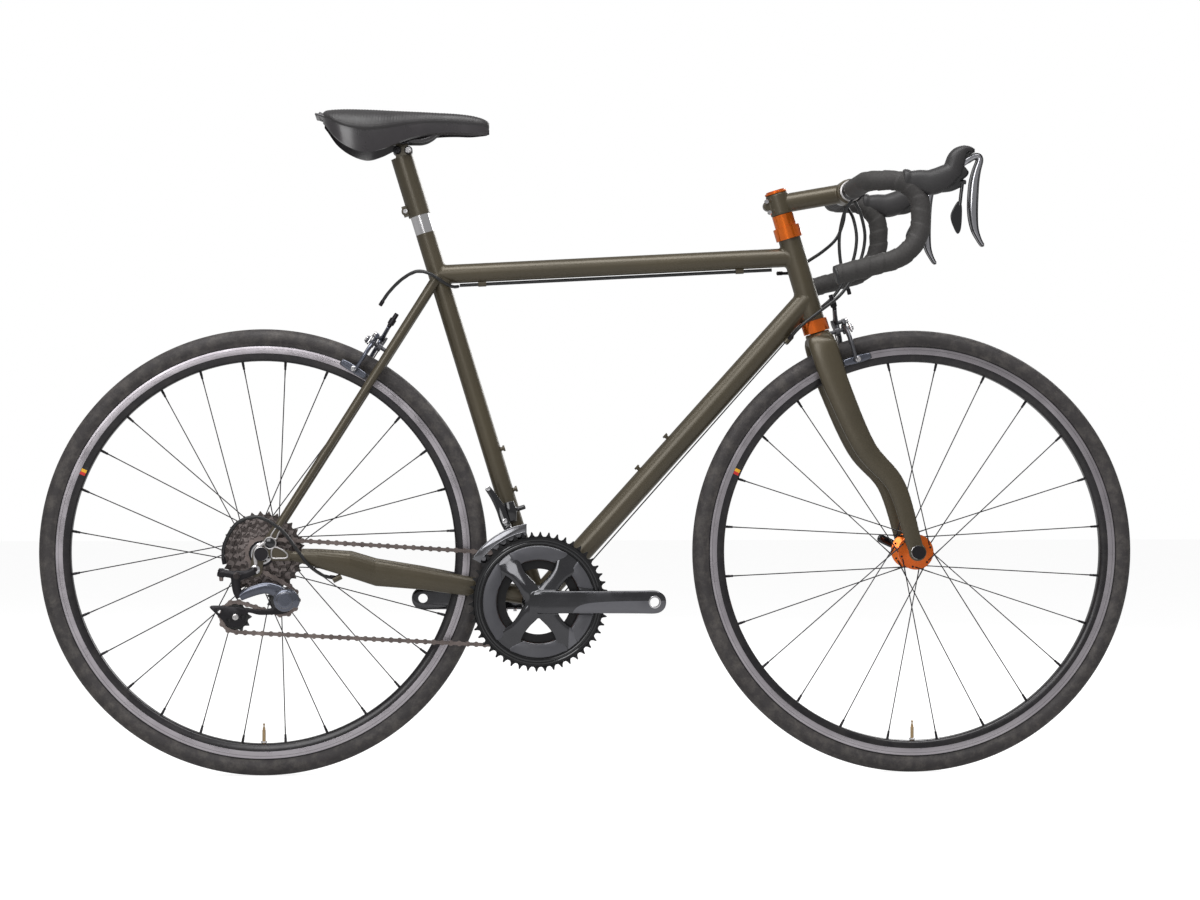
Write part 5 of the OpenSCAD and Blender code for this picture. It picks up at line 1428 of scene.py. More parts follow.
def lever_edges(side):
    """Dark beads along both edges of the lever, which frame its face; that face's bright grey is a painted
    reflection on the gloss black lever.
    """
    made = []
    rows = smooth_path([(x, z, w, h) for x, z, w, h in LEVER_LINE[1:]], 6)
    path = [at_hood(side, r[0], r[1]) for r in rows]
    ahead, _ = directions(path)
    for way in (-1, 1):
        for edge in (-1, 1):
            line = []
            for p, u, r in zip(path, ahead, rows):
                out = Vector((0, 1, 0)).cross(u)
                line.append(p + Vector((0, edge * (r[2] - 0.9), 0)) + out * way * (r[3] - 0.7))
            made.append(tube("bead", line, 1.15, M["black_gloss"], 10))
    return made


def paddle(side):
    outline = smooth_loop([(131, -30), (122, -45), (120.5, -54), (123.5, -65), (130, -77), (135, -72),
                           (137, -54),
                           (136.5, -34)])
    blade = plate("paddle", [(x, z) for x, z in outline], -2.0, 2.0, M["black_gloss"], 1.2,
                  at_hood(side, 0, 0), 3)
    stem = [at_hood(side, x, z) for x, z in ((138, -2), (137, -10), (135.5, -22), (134, -36))]
    parts = [blade, tube("stem", smooth_path(stem, 5), 2.6, M["black_gloss"], 14)]
    barrel = [at_hood(side, 129 + k, -2) for k in (0.0, 0.4, 13.6, 14.0)]
    parts.append(tube("barrel", barrel, [3.0, 3.6, 3.6, 3.0], M["black_gloss"], 18))
    return joined("paddle", parts)


def smooth_loop(points, steps=6):
    """A closed smooth outline through the points."""
    count = len(points)
    out = []
    for i in range(count):
        a, b, c, d = (Vector(points[(i + k) % count]) for k in (-1, 0, 1, 2))
        for s in range(steps):
            t = s / steps
            out.append((b * 2 + (c - a) * t + (a * 2 - b * 5 + c * 4 - d) * t * t
                        + (b * 3 - a - c * 3 + d) * t ** 3) / 2)
    return [(p.x, p.y) for p in out]


# Bright metal grey standing in for the white room reflected in the gloss black lever: a painted reflection.
M["lever_face"] = finish("lever_bright_face", rgb(0.5, 0.5, 0.53), rgb(0.4, 0.4, 0.43), 0.14, metallic=1.0,
                         coat=0.5, coat_roughness=0.04, grain=(900.0, 0.03), handling=0.05)


def make_controls():
    for side, name in ((1, "left"), (-1, "right")):
        ride(hood(side), "steering", "brake_hoods", slot="hood_rubber").name = name + "_hood"
        ride(lever_body(side), "steering", slot="black_plastic").name = name + "_lever_bracket"
        blade = joined(name + "_lever", [lever_blade(side)] + lever_edges(side))
        ride(blade, name + "_lever", name + "_brake_lever", slot="lever_black")
        ride(paddle(side), name + "_paddle", name + "_shift_paddle",
             slot="lever_black").name = name + "_paddle_blade"
        pin = [at_hood(side, 134, 22, y) for y in (-10.6, -10.0, 10.0, 10.6)]
        ride(tube(name + "_lever_pin", pin, [1.6, 2.4, 2.4, 1.6], M["polished"], 16), "steering",
             slot="fittings")


# ---------------------------------------------------------------- saddle
# Rows of (distance from the tail, half width, height of the top, depth of the side).
SADDLE_ROWS = [
    (12, 36, -5, 5), (17, 50, -2.5, 10), (30, 64, -1.2, 22), (50, 70, -0.6, 32), (75, 69, -0.8, 37),
    (98, 62, -1.4, 34),
    (120, 49, -2.0, 28), (142, 37, -2.4, 22), (166, 28, -3.0, 18), (190, 23, -4.0, 16), (212, 20.5, -5.2, 15),
    (232, 18.5, -7.4, 14), (248, 14.5, -11.0, 11), (257, 9, -15.0, 8), (260.5, 3.5, -18.5, 5),
]
RIB_PITCH = 4.4


def smooth_rows(step):
    """Rows along the saddle every step mm, through the listed ones."""
    path = smooth_path(SADDLE_ROWS, 10)
    out = []
    x = SADDLE_ROWS[0][0]
    i = 0
    while x < SADDLE_ROWS[-1][0]:
        while i < len(path) - 2 and path[i + 1][0] < x:
            i += 1
        a, b = path[i], path[i + 1]
        t = (x - a[0]) / max(b[0] - a[0], 1e-6)
        out.append([a[k] + (b[k] - a[k]) * t for k in range(4)])
        x += step
    out.append(list(SADDLE_ROWS[-1]))
    return out


def saddle_point(row, t, sink, reach=1.0):
    """A point of the saddle skin: t runs across from -1 to 1, sink is the depth below the top skin."""
    x, w, top, deep = row
    a = t * math.radians(80) * reach
    y = (w - sink * 0.6) * math.sin(a) / math.sin(math.radians(80))
    fall = abs(t * reach) ** 3.4 * deep + abs(t) ** 2 * w * 0.06
    groove = 1.6 * math.exp(-(y / 7.0) ** 2) * (1 if 30 < x < 190 else 0.0)
    return Vector((SADDLE_BACK + x, y, SADDLE_TOP + top - fall - sink - groove))


def saddle_cover():
    rows = smooth_rows(1.1)
    across = 56
    rings = []
    for row in rows:
        ring = []
        for k in range(across + 1):
            t = -1 + 2 * k / across
            p = saddle_point(row, t, 0.0, 0.93)
            wave = math.sin(2 * math.pi * (row[0] + 5 * abs(t)) / RIB_PITCH)
            calm = 1 if abs(t) < 0.93 and 22 < row[0] < 246 else 0.0
            ring.append(p + Vector((0, 0, 0.28 * wave * calm)))
        for k in range(across, -1, -1):
            t = -1 + 2 * k / across
            ring.append(saddle_point(row, t, 8.0, 0.9))
        rings.append(ring)
    points, faces = rings_mesh(rings)
    return piece("saddle_padded_cover", points, faces, M["saddle"], crease=75.0)


def saddle_base():
    """The stiff shell under the padding, with its visible lower skirt."""
    rows = smooth_rows(4.0)
    across = 40
    rings = []
    for row in rows:
        ring = [saddle_point(row, -1 + 2 * k / across, 3.2, 1.16) for k in range(across + 1)]
        ring += [saddle_point(row, -1 + 2 * k / across, 9.5, 1.12) for k in range(across, -1, -1)]
        rings.append(ring)
    points, faces = rings_mesh(rings)
    shell = piece("shell", points, faces, M["carbon"], crease=60.0)
    wings = []
    for side in (-1, 1):
        line = [Vector((SADDLE_BACK + x, side * y, SADDLE_TOP + z)) for x, y, z in
                ((0.8, 30, -9.5), (10, 31, -12), (24, 31, -17), (40, 30, -22))]
        stations = [(p, w, h) for p, (w, h) in zip(line, ((7, 1.6), (9, 2.6), (10, 3.2), (9, 3.0)))]
        wings.append(shaped_sweep("wing", stations, M["carbon"], (0, 1, 0), 20, 5, 2.4))
    bridge = [(Vector((SADDLE_BACK + 3, y, SADDLE_TOP - 10.5)), 3.0, 1.8) for y in (-34, -12, 12, 34)]
    wings.append(shaped_sweep("tail_bar", bridge, M["carbon"], (1, 0, 0), 20, 4, 2.4))
    return joined("saddle_stiff_shell", [shell] + wings)


def saddle_rail(side):
    line = [(-126, 30, 33), (-104, 29, 24), (-84, 27, 10), (-70, 23.5, -3.5), (-58, 22, -5.2), (-30, 22, -5),
            (14, 22, -5), (30, 21, -4.4), (42, 18.5, 0.5), (54, 15, 10), (66, 12.5, 17), (84, 11, 19.5),
            (112, 9, 20)]
    path = smooth_path([RAIL_AT + Vector((x, side * y, z)) for x, y, z in line], 8)
    return tube("rail", path, 3.5, M["carbon"], 20)


def seam_stitches():
    """Stitches along the lower edge of the cover, one run each side."""
    runs = []
    for side in (-1, 1):
        path = [saddle_point(row, side, -0.25, 0.88) for row in smooth_rows(4.0) if 24 < row[0] < 240]
        shape = tube("stitch", [Vector((0, 0, z)) for z in (-1.1, -0.8, 0.8, 1.1)], [0.12, 0.34, 0.34, 0.12],
                     M["thread"], 6)
        runs.append(along_path("seam", path, 3.2, shape, M["thread"]))
    return joined("saddle_seam_stitches", runs)


M["thread"] = finish("dark_thread", rgb(0.05, 0.045, 0.045), rgb(0.03, 0.03, 0.03), 0.7, grain=(3000.0, 0.4))


def clamp_pieces():
    """Upper and lower saddle clamps with their two bolts."""
    parts = []
    for y0, y1 in ((-28.5, -14.5), (14.5, 28.5)):
        parts.append(tube("cheek", [RAIL_AT + Vector((0, y, 2.0)) for y in (y0, y0 + 1, y1 - 1, y1)],
                          [11.6, 12.8, 12.8, 11.6], M["black_anodised"], 40))
    parts.append(tube("drum", [RAIL_AT + Vector((0, y, 0)) for y in (-15, 15)], 9.8, M["black_anodised"], 40))
    bolts = [socket_bolt(RAIL_AT + Vector((x, -17.5, -19.0)), (0, -1, 0), 5.0, 4.6, M[key])
             for x, key in ((-9.0, "black_anodised"), (8.0, "polished"))]
    shanks = [tube("bolt_barrel", [RAIL_AT + Vector((x, y, -19.0)) for y in (-18.0, -17.0, 17.0, 18.0)],
                   [5.4, 6.2, 6.2, 5.4], M["black_anodised"], 24) for x in (-9.0, 8.0)]
    return joined("saddle_rail_clamp", parts + shanks + bolts)


def pinch_bolt():
    at = on_mast(618.0, -18.7)
    parts = [
        tube("ear", [at + Vector((0, y, 0)) for y in (-7.5, -6.8, -1.2, -1.0)], [5.2, 6.0, 6.0, 5.4],
             M["frame_paint"], 28),
        tube("ear", [at + Vector((0, y, 0)) for y in (1.0, 1.2, 6.8, 7.5)], [5.4, 6.0, 6.0, 5.2],
             M["frame_paint"], 28),
        socket_bolt(at + Vector((0, -7.4, 0)), (0, -1, 0), 3.6, 3.0, M["polished"]),
    ]
    return joined("mast_pinch_bolt", parts)


def make_saddle():
    cover = saddle_cover()
    ride(cover, "seat", "saddle_cover", slot="saddle_cover")
    ride(saddle_base(), "seat", "saddle_shell", slot="black_plastic")
    ride(joined("saddle_rail_pair", [saddle_rail(-1), saddle_rail(1)]), "seat", "saddle_rails",
         slot="black_plastic")
    ride(seam_stitches(), "seat", slot="saddle_cover")
    ride(clamp_pieces(), "seat", "saddle_clamp", slot="dark_metal")
    ride(pinch_bolt(), "seat", slot="frame_paint")


# ---------------------------------------------------------------- cranks and chainrings
PITCH = 12.7
BIG_TEETH = 50
SMALL_TEETH = 34
BIG_Y = -47.6
SMALL_Y = -40.2
CRANK_LENGTH = 172.5
SPIDER_ANGLES = (52.0, 128.0, 232.0, 308.0)
PEDAL_HOLE_R = 7.1


def pitch_radius(teeth):
    return PITCH / (2 * math.sin(math.pi / teeth))


def toothed_ring(name, centre, y, teeth, thick, bore, material, phase=0.0, tip=3.4):
    """A ring with real teeth round it."""
    root = pitch_radius(teeth) - 4.0
    half = thick / 2
    body = lathe(name, [(bore, y - half), (bore, y + half), (root + 0.4, y + half), (root + 0.4, y - half)],
                 centre, material, 160, 30.0)
    foot = math.pi * root / teeth
    outline = [(-0.6, -foot * 0.98), (0.8, -foot * 0.62), (3.0, -2.2), (tip + 2.6, -1.3), (tip + 4.0, -0.55),
               (tip + 4.0, 0.55), (tip + 2.6, 1.3), (3.0, 2.2), (0.8, foot * 0.62), (-0.6, foot * 0.98)]
    tooth = plate("tooth", outline, -half, half, material)
    crown = in_a_ring("teeth", teeth, root, centre + Vector((0, y, 0)), tooth, material, phase)
    return [body, crown]


def bored(made, at, radius, reach=90.0):
    """Cuts a round hole along Y through a piece."""
    cutter = tube("cutter", [at + Vector((0, y, 0)) for y in (-reach, reach)], radius, M["black_anodised"],
                  48)
    cut = made.modifiers.new("hole", "BOOLEAN")
    cut.operation = "DIFFERENCE"
    cut.object = cutter
    cut.solver = "EXACT"
    material = made.data.materials[0]
    made = settled(made, crease=40.0)
    bpy.data.objects.remove(cutter)
    made.data.materials.clear()
    made.data.materials.append(material)
    for polygon in made.data.polygons:
        polygon.material_index = 0
    return made


def crank_finish():
    """Glossy upper face and a lighter satin lower face, parted by a curved line."""
    name = "crank_two_tone"
    material = finish(name, rgb(0.06, 0.06, 0.066), rgb(0.045, 0.045, 0.05), 0.16, metallic=0.9, coat=0.9,
                      coat_roughness=0.05, grain=(900.0, 0.04), handling=0.2)
    tree = material.node_tree
    shader = next(n for n in tree.nodes if n.type == "BSDF_PRINCIPLED")
    split = node(tree, "ShaderNodeSeparateXYZ")
    wire(tree, own_place(tree), split.inputs["Vector"])
    along = maths(tree, "SUBTRACT", split.outputs["X"], (CRANK_AXLE.x + 42) * MM)
    fall = maths(tree, "MULTIPLY", maths(tree, "DIVIDE", 1.0, maths(tree, "MAXIMUM", along, 2 * MM)), 1.6e-4)
    line = maths(tree, "SUBTRACT", (CRANK_AXLE.z + 3.4) * MM, fall)
    under = maths(tree, "SUBTRACT", line, split.outputs["Z"])
    low = spread(tree, under, -0.2 * MM, 0.2 * MM, 0.0, 1.0)
    reach = spread(tree, along, 0.0, 4 * MM, 0.0, 1.0)
    share = maths(tree, "MULTIPLY", low, reach)
    base = shader.inputs["Base Color"]
    source = base.links[0].from_socket if base.is_linked else None
    lighter = (0.14, 0.14, 0.155, 1)
    first = source if source is not None else tuple(base.default_value)
    wire(tree, mix_colours(tree, share, first, lighter), base)
    rough = shader.inputs["Roughness"]
    before = rough.links[0].from_socket if rough.is_linked else rough.default_value
    wire(tree, maths(tree, "ADD", before, maths(tree, "MULTIPLY", share, 0.22)), rough)
    return material


def spider_casting():
    parts = []
    centre = CRANK_AXLE
    hub = [centre + Vector((0, y, 0)) for y in (-45.5, -46.0, -50.0, -58.0, -62.0)]
    parts.append(tube("hub", hub, [24.0, 25.0, 25.0, 21.0, 12.0], M["anthracite"], 64))
    for angle in SPIDER_ANGLES:
        a = math.radians(angle)
        out = Vector((math.cos(a), 0, math.sin(a)))
        side = Vector((-math.sin(a), 0, math.cos(a)))
        stations = [(centre + out * r + Vector((0, y, 0)), w, h) for r, y, w, h in
                    ((6, -57, 15, 6), (22, -56.8, 14, 5.6), (38, -55.4, 12, 5.0), (54, -53.4, 13, 4.2),
                     (67, -51.6, 18, 3.0), (80, -50.6, 25, 2.0))]
        parts.append(shaped_sweep("spoke", stations, M["anthracite"], side, 32, 6, 2.3))
    parts.append(crank_arm_shape(-1))
    band = [(62, -46.8), (61, -49.0), (62.5, -51.2), (66, -52.2), (78, -52.2), (83.5, -51.3), (84.6, -49.4),
            (84.6, -46.8)]
    parts.append(lathe("band", band, centre, M["anthracite"], 160))
    made = fused("right_crank_casting", parts, 0.95, 7, crank_finish())
    return bored(made, centre + Vector((CRANK_LENGTH, 0, 0)), PEDAL_HOLE_R)


def crank_arm_shape(side):
    """The arm from its axle to the pedal end; side is -1 for the right and 1 for the left."""
    forward = -side
    rows = [(-19, 56.0, 7, 3), (-14, 57.0, 12.5, 5), (0, 59.5, 17, 6.5), (30, 60.5, 16.9, 6.2),
            (60, 62.0, 16.8, 5.9), (100, 64.2, 16.8, 5.8),
            (150, 66.6, 17.0, 5.8), (172.5, 67.3, 17.2, 5.8), (182, 67.4, 14.5, 5.7), (187.5, 67.4, 9.0, 5.4),
            (189.6, 67.4, 3.0, 4.4)]
    stations = [(CRANK_AXLE + Vector((forward * x, side * y, 0)), w, h) for x, y, w, h in rows]
    return shaped_sweep("arm", stations, M["anthracite"], (0, 0, 1), 40, 6, 5.0)


def ring_panels():
    """Satin panels between the spider's arms, with rounded ends."""
    made = []
    spans = ((62, 118), (140, 220), (242, 298), (-42, -17), (17, 42))
    for start, end in spans:
        outer = disc_points((0, 0), 83.0, 18, start - 4, end + 4)
        inner = disc_points((0, 0), 63.5, 18, start, end)
        outline = smooth_loop(outer[::3] + [outer[-1]] + inner[::-3], 3)
        made.append(plate("panel", outline, -53.6, -51.6, M["anthracite_satin"], 0.9, CRANK_AXLE, 3))
    return made


def ring_rims():
    """Narrow glossy steps round the big ring."""
    made = []
    for r, y, w in ((88.2, -50.9, 1.9), (92.2, -49.8, 1.3)):
        profile = [(r - w, y + 1.6), (r - w * 0.8, y), (r, y - 0.5), (r + w * 0.8, y), (r + w, y + 1.6)]
        made.append(lathe("rim", profile, CRANK_AXLE, M["black_gloss"], 160))
    return made


def make_cranks():
    ride(spider_casting(), "crankset", "right_crank", slot="crank_metal")
    rings = toothed_ring("big", CRANK_AXLE, BIG_Y, BIG_TEETH, 3.2, 62.0, M["ring_black"], 2.0)
    rings += toothed_ring("small", CRANK_AXLE, SMALL_Y, SMALL_TEETH, 2.2, 49.0, M["ring_black"], 4.0)
    rings += ring_rims()
    for angle in SPIDER_ANGLES:
        a = math.radians(angle)
        at = CRANK_AXLE + Vector((55 * math.cos(a), 0, 55 * math.sin(a)))
        rings.append(tube("post", [at + Vector((0, y, 0)) for y in (-50.0, -38.8)], 6.0, M["ring_black"], 24))
        rings.append(socket_bolt(at + Vector((0, -38.8, 0)), (0, 1, 0), 4.6, 1.6, M["black_anodised"]))
        tab = [(r * math.cos(a + k), r * math.sin(a + k)) for r,
               k in ((44, -0.2), (64, -0.2), (64, 0.2), (44, 0.2))]
        rings.append(plate("tab", tab, SMALL_Y - 1.0, SMALL_Y + 1.0, M["ring_black"], 0.5, CRANK_AXLE))
    ride(joined("chainring_pair", rings), "crankset", "chainrings", slot="crank_metal")
    ride(joined("chainring_satin_panels", ring_panels()), "crankset", slot="crank_metal")
    left = [crank_arm_shape(1),
            tube("boss", [CRANK_AXLE + Vector((0, y, 0)) for y in (45.0, 46.0, 64.0, 65.4)],
                 [16, 18.5, 18.5, 17],
                 M["anthracite"], 48)]
    made = fused("left_crank_casting", left, 1.1, 5, crank_finish())
    made = bored(made, CRANK_AXLE - Vector((CRANK_LENGTH, 0, 0)), PEDAL_HOLE_R)
    ride(made, "crankset", "left_crank", slot="crank_metal")
    small = [socket_bolt(CRANK_AXLE + Vector((x, 56.0, -16.6)), (0, 0, -1), 3.0, 3.0, M["polished"])
             for x in (-32.0, -46.0)]
    cap = [CRANK_AXLE + Vector((0, y, 0)) for y in (64.5, 65.0, 66.8, 67.4, 67.5)]
    small.append(tube("preload_cap", cap, [12, 12.6, 12.2, 10.5, 4.0], M["black_plastic"], 40))
    ride(joined("left_crank_bolts", small), "crankset", slot="crank_metal")
    collars = []
    for side, x in ((-1, CRANK_LENGTH), (1, -CRANK_LENGTH)):
        profile = [(PEDAL_HOLE_R, side * 73.0), (PEDAL_HOLE_R + 0.3, side * 73.5), (9.0, side * 73.4),
                   (9.6, side * 72.6), (9.0, side * 70.0), (PEDAL_HOLE_R, side * 62.5)]
        collars.append(lathe("collar", profile, CRANK_AXLE + Vector((x, 0, 0)), M["polished"], 48))
    ride(joined("pedal_hole_collars", collars), "crankset", slot="crank_metal")


# ---------------------------------------------------------------- cassette
COG_TEETH = (11, 12, 13, 14, 15, 17, 19, 21, 24, 27, 30)
COG_Y = -59.5
COG_STEP = 3.74


def make_cassette():
    parts = []
    for i, teeth in enumerate(COG_TEETH):
        y = COG_Y + i * COG_STEP
        root = pitch_radius(teeth) - 4.0
        bore = 17.0 if i < 3 else max(17.0, root - 13.0)
        # Every other cog takes the darker copy of the same steel, as painted shade between the cogs.
        metal = M["cog_steel" if i % 2 else "cog_dark"]
        parts += toothed_ring("cog", REAR_AXLE, y, teeth, 1.7, bore, metal, i * 7.0, 1.6)
        if i > 3:
            # Dark discs stand for the holes in the larger cogs: painted shade in the holes.
            slot_shape = tube("relief", [Vector((0, -1.05, 0)), Vector((0, 1.05, 0))], 1.5, M["dark_steel"],
                              12)
            parts.append(in_a_ring("reliefs", teeth, root - 3.4, REAR_AXLE + Vector((0, y, 0)), slot_shape,
                                   M["dark_steel"], i * 11.0))
    core = [(17.0, COG_Y - 2.0), (19.4, COG_Y - 2.0), (19.4, COG_Y + 38.5), (17.0, COG_Y + 38.5)]
    parts.append(lathe("carrier", core, REAR_AXLE, M["black_anodised"], 96))
    lock = [(8.0, COG_Y - 4.6), (14.6, COG_Y - 4.6), (16.0, COG_Y - 3.4), (16.0, COG_Y - 1.0),
            (8.0, COG_Y - 1.0)]
    parts.append(lathe("lock_ring", lock, REAR_AXLE, M["polished"], 72))
    # Dark plates stand for the lock ring's notches: painted shade in the notches.
    notch = plate("notch", [(-1.4, -1.2), (1.4, -1.2), (1.4, 1.2), (-1.4, 1.2)], -0.5, 0.5, M["dark_steel"])
    parts.append(in_a_ring("notches", 12, 12.0, REAR_AXLE + Vector((0, COG_Y - 4.6, 0)), notch,
                           M["dark_steel"]))
    ride(joined("cassette_cogs", parts), "cassette", "cassette", slot="steel")


# ---------------------------------------------------------------- dropouts
def at_rear(x, z, y):
    return REAR_AXLE + Vector((x, y, z))


def loop_tube(points, y, radius, material, closed=True):
    path = [at_rear(x, z, y) for x, z in (smooth_loop(points, 5) if closed else points)]
    if closed:
        path.append(path[0])
    else:
        path = smooth_path(path, 5)
    return tube("border", path, radius, material, 12)


def dropout_trim(side):
    """The bright raised border of a dropout and its round badge."""
    y = side * 72.2
    parts = [
        loop_tube([(14, 26), (20, 37), (24.5, 41.5), (28.3, 37), (24.5, 29), (21, 22)], y, 1.3, M["brushed"]),
        loop_tube([(17, 9), (23, 9.5), (33, 4.6), (38.5, -1.4), (36, -6), (27, -6.6), (16.5, -6.2),
                   (14.4, 1)], y, 1.3,
                  M["brushed"]),
    ]
    ring = [(9.6, y - side * 1.0), (9.4, y + side * 1.5), (8.6, y + side * 1.9), (7.8, y + side * 1.5),
            (7.6, y - side * 1.0)]
    badge = Vector((12.7, 0, 16.0))
    parts.append(lathe("badge_ring", ring, REAR_AXLE + badge, M["brushed"], 64))
    disc = [(0.2, y - side * 1.0), (7.6, y - side * 1.0), (7.6, y + side * 0.8), (6.8, y + side * 1.3),
            (0.2, y + side * 1.3)]
    parts.append(lathe("badge", disc, REAR_AXLE + badge, M["black_gloss"], 64))
    leg = [(at_rear(5.5, 18, y), 1.6, 2.4), (at_rear(-1, 12.5, y), 1.7, 2.9), (at_rear(-7.4, 6, y), 1.7, 3.0),
           (at_rear(-9.4, -2, y), 1.7, 2.9), (at_rear(-8.6, -11, y), 1.7, 2.9),
           (at_rear(-8.2, -16, y), 1.6, 2.6)]
    if side < 0:
        parts.append(shaped_sweep("leg", leg, M["brushed"], (0, 1, 0), 20, 5, 3.0))
        bolt_ring = [(3.4, y - 1.5), (3.6, y - 3.4), (5.4, y - 3.4), (7.0, y - 2.4), (7.2, y + 1.0),
                     (3.4, y + 1.0)]
        parts.append(lathe("hanger_bolt", bolt_ring, REAR_AXLE + Vector((-9, 0, -23)), M["polished"], 48))
        core = [(0.2, y - 1.2), (3.5, y - 1.2), (3.5, y + 1.0), (0.2, y + 1.0)]
        parts.append(lathe("hanger_bolt_core", core, REAR_AXLE + Vector((-9, 0, -23)), M["dark_steel"], 32))
    return parts


def make_dropout_trim():
    ride(joined("dropout_trim", dropout_trim(-1) + dropout_trim(1)), "frame", slot="dropout_metal")


# ---------------------------------------------------------------- rear mech
def knob(name, at, y_list, radii, material, sides=40):
    return tube(name, [at + Vector((0, y, 0)) for y in y_list], radii, material, sides)


def make_rear_mech():
    black, blue = M["black_anodised"], M["blue_grey"]

    def row(points, y):
        return [(at_rear(x, z, y), w, h) for x, z, w, h in points]

    hanger = [
        shaped_sweep("b_link", row([(-9, -24, 4, 6), (-22, -30, 4, 6), (-36, -32, 5, 8.5),
                                    (-40, -31, 4.5, 8)], -77),
                     black, (0, 1, 0), 28, 6, 2.6),
        shaped_sweep("b_knuckle", row([(-36, -30, 6, 8.5), (-37, -42, 6, 7), (-35, -55, 6, 6.5),
                                       (-31, -64, 6, 6)], -78),
                     black, (0, 1, 0), 28, 6, 2.6),
        shaped_sweep("barrel_seat", row([(-38, -31, 5, 6), (-50, -29, 5, 5.5), (-58, -28, 4.5, 6),
                                         (-60, -34, 4, 5)],
                                        -77), black, (0, 1, 0), 24, 6, 2.4),
    ]
    casting = fused("mech_hanger_casting", hanger, 0.8, 5, black)
    ride(casting, "frame", "mech_hanger_link", slot="dark_metal")
    small = [
        socket_bolt(at_rear(-36, -32, -84.0), (0, -1, 0), 5.2, 1.6, M["dark_steel"]),
        tube("barrel", [at_rear(-58.6, z, -76) for z in (-30.0, -29.5, -24.0, -22.6, -21.0)],
             [4.6, 5.2, 5.2, 4.2, 3.4],
             black, 20),
        tube("barrel_foot", [at_rear(-58.6, z, -76) for z in (-40.0, -39.0, -33.0)], [2.2, 3.0, 3.4],
             M["steel"], 16),
    ]
    ride(joined("mech_hanger_bolts", small), "frame", slot="dark_metal")

    swoosh = [
        shaped_sweep("link", row([(-31, -64, 4.5, 5.5), (-20, -57.5, 5, 7.5), (-6, -52.5, 5.2, 8),
                                  (6, -50, 5.2, 8.5),
                                  (16, -51.5, 5, 9), (26, -56, 4.6, 9.5), (31, -62, 4, 8)], -80),
                     blue, (0, 1, 0), 36, 7, 2.8),
    ]
    ride(fused("mech_outer_arm", swoosh, 0.6, 4, blue), "swing_link", "mech_outer_link", slot="mech_metal")
    guide = GUIDE_AT + Vector((7, 0, 3))
    disc = [
        knob("drum", guide, (-70.0, -76.0, -84.0, -86.4, -87.0), (15, 16.5, 16.5, 14.5, 9.0), blue, 56),
        shaped_sweep("brow", [(guide + Vector((x, -78, z)), w, h) for x, z, w, h in
                              ((-14, 3, 6, 5), (-2, 11, 6, 5.5), (10, 10, 6, 5.5), (17, 0, 6, 5),
                               (14, -10, 5.5, 4.5))],
                     blue, (0, 1, 0), 28, 6, 2.4),
    ]
    ride(fused("mech_pulley_knuckle", disc, 0.7, 5, blue), "knuckle", "mech_knuckle", slot="mech_metal")
    # A thin chrome ring that stands in for the curved highlight on the knuckle: a painted highlight made as a
    # part.
    ring = [(11.0, -86.6), (11.3, -87.2), (12.0, -87.1), (12.6, -86.0), (11.0, -86.0)]
    ride(lathe("mech_knuckle_ring", ring, guide, M["dark_chrome"], 56), "knuckle", slot="mech_metal")
    ride(joined("mech_cage_pair", mech_cage_parts()), "cage", "mech_cage", slot="black_plastic")
    for name, body, at in (("guide_pulley", "guide_wheel", GUIDE_AT),
                           ("tension_pulley", "tension_wheel", TENSION_AT)):
        centre = Vector((at.x, 0, at.z))
        parts = toothed_ring("wheel", centre, COG_Y, 11, 2.4, 9.0, M["black_plastic"], 0.0, 1.4)
        hub = [(2.6, COG_Y - 3.4), (6.5, COG_Y - 3.4), (7.0, COG_Y - 1.0), (10.0, COG_Y - 0.9),
               (10.0, COG_Y + 0.9),
               (7.0, COG_Y + 1.0), (6.5, COG_Y + 3.4), (2.6, COG_Y + 3.4)]
        parts.append(lathe("hub", hub, centre, M["black_plastic"], 48))
        ride(joined(name + "_wheel", parts), body, name, slot="black_plastic")


def mech_cage_parts():
    """Both plates of the cage, with their windows and pulley bolts."""
    g, t = GUIDE_AT, TENSION_AT
    parts = []
    outline = smooth_loop([
        (g.x + 15, g.z + 6), (g.x + 17, g.z - 8), (g.x + 6, g.z - 19), (g.x - 12, g.z - 21.5),
        (g.x - 34, g.z - 22),
        (t.x + 17, t.z + 6), (t.x + 14, t.z - 9), (t.x + 4, t.z - 14.5), (t.x - 9, t.z - 14),
        (t.x - 20, t.z - 4),
        (t.x - 30, t.z + 6), (t.x - 38, t.z + 15.5), (t.x - 24, t.z + 16.5), (t.x - 4, t.z + 15.5),
        (g.x - 30, g.z - 14), (g.x - 12, g.z - 9), (g.x - 9, g.z + 6), (g.x, g.z + 13)], 4)
    for y0, y1 in ((-66.4, -64.2), (-55.2, -53.4)):
        made = plate("plate", outline, y0, y1, M["black_anodised"], 0.5)
        for x, z, r in ((t.x - 24, t.z + 8, 3.0), (t.x - 10, t.z - 5, 3.2), (t.x + 10, t.z + 0.5, 3.0)):
            made = bored(made, Vector((x, (y0 + y1) / 2, z)), r, 4.0)
        parts.append(made)
    for at in (g, t):
        centre = Vector((at.x, 0, at.z))
        parts.append(knob("spindle", centre, (-66.8, -53.2), 2.4, M["steel"], 20))
        parts.append(socket_bolt(centre + Vector((0, -66.4, 0)), (0, -1, 0), 4.6, 1.6, M["brushed"]))
    return parts


# ---------------------------------------------------------------- front mech
def crank_at(x, z, y):
    return CRANK_AXLE + Vector((x, y, z))


def cage_blade(y0, y1, r_in, r_out, start, end, material):
    outer = disc_points((0, 0), r_out, 22, start, end)
    inner = disc_points((0, 0), r_in, 22, start + 2, end - 1)
    return plate("blade", outer + inner[::-1], y0, y1, material, 0.4, CRANK_AXLE)


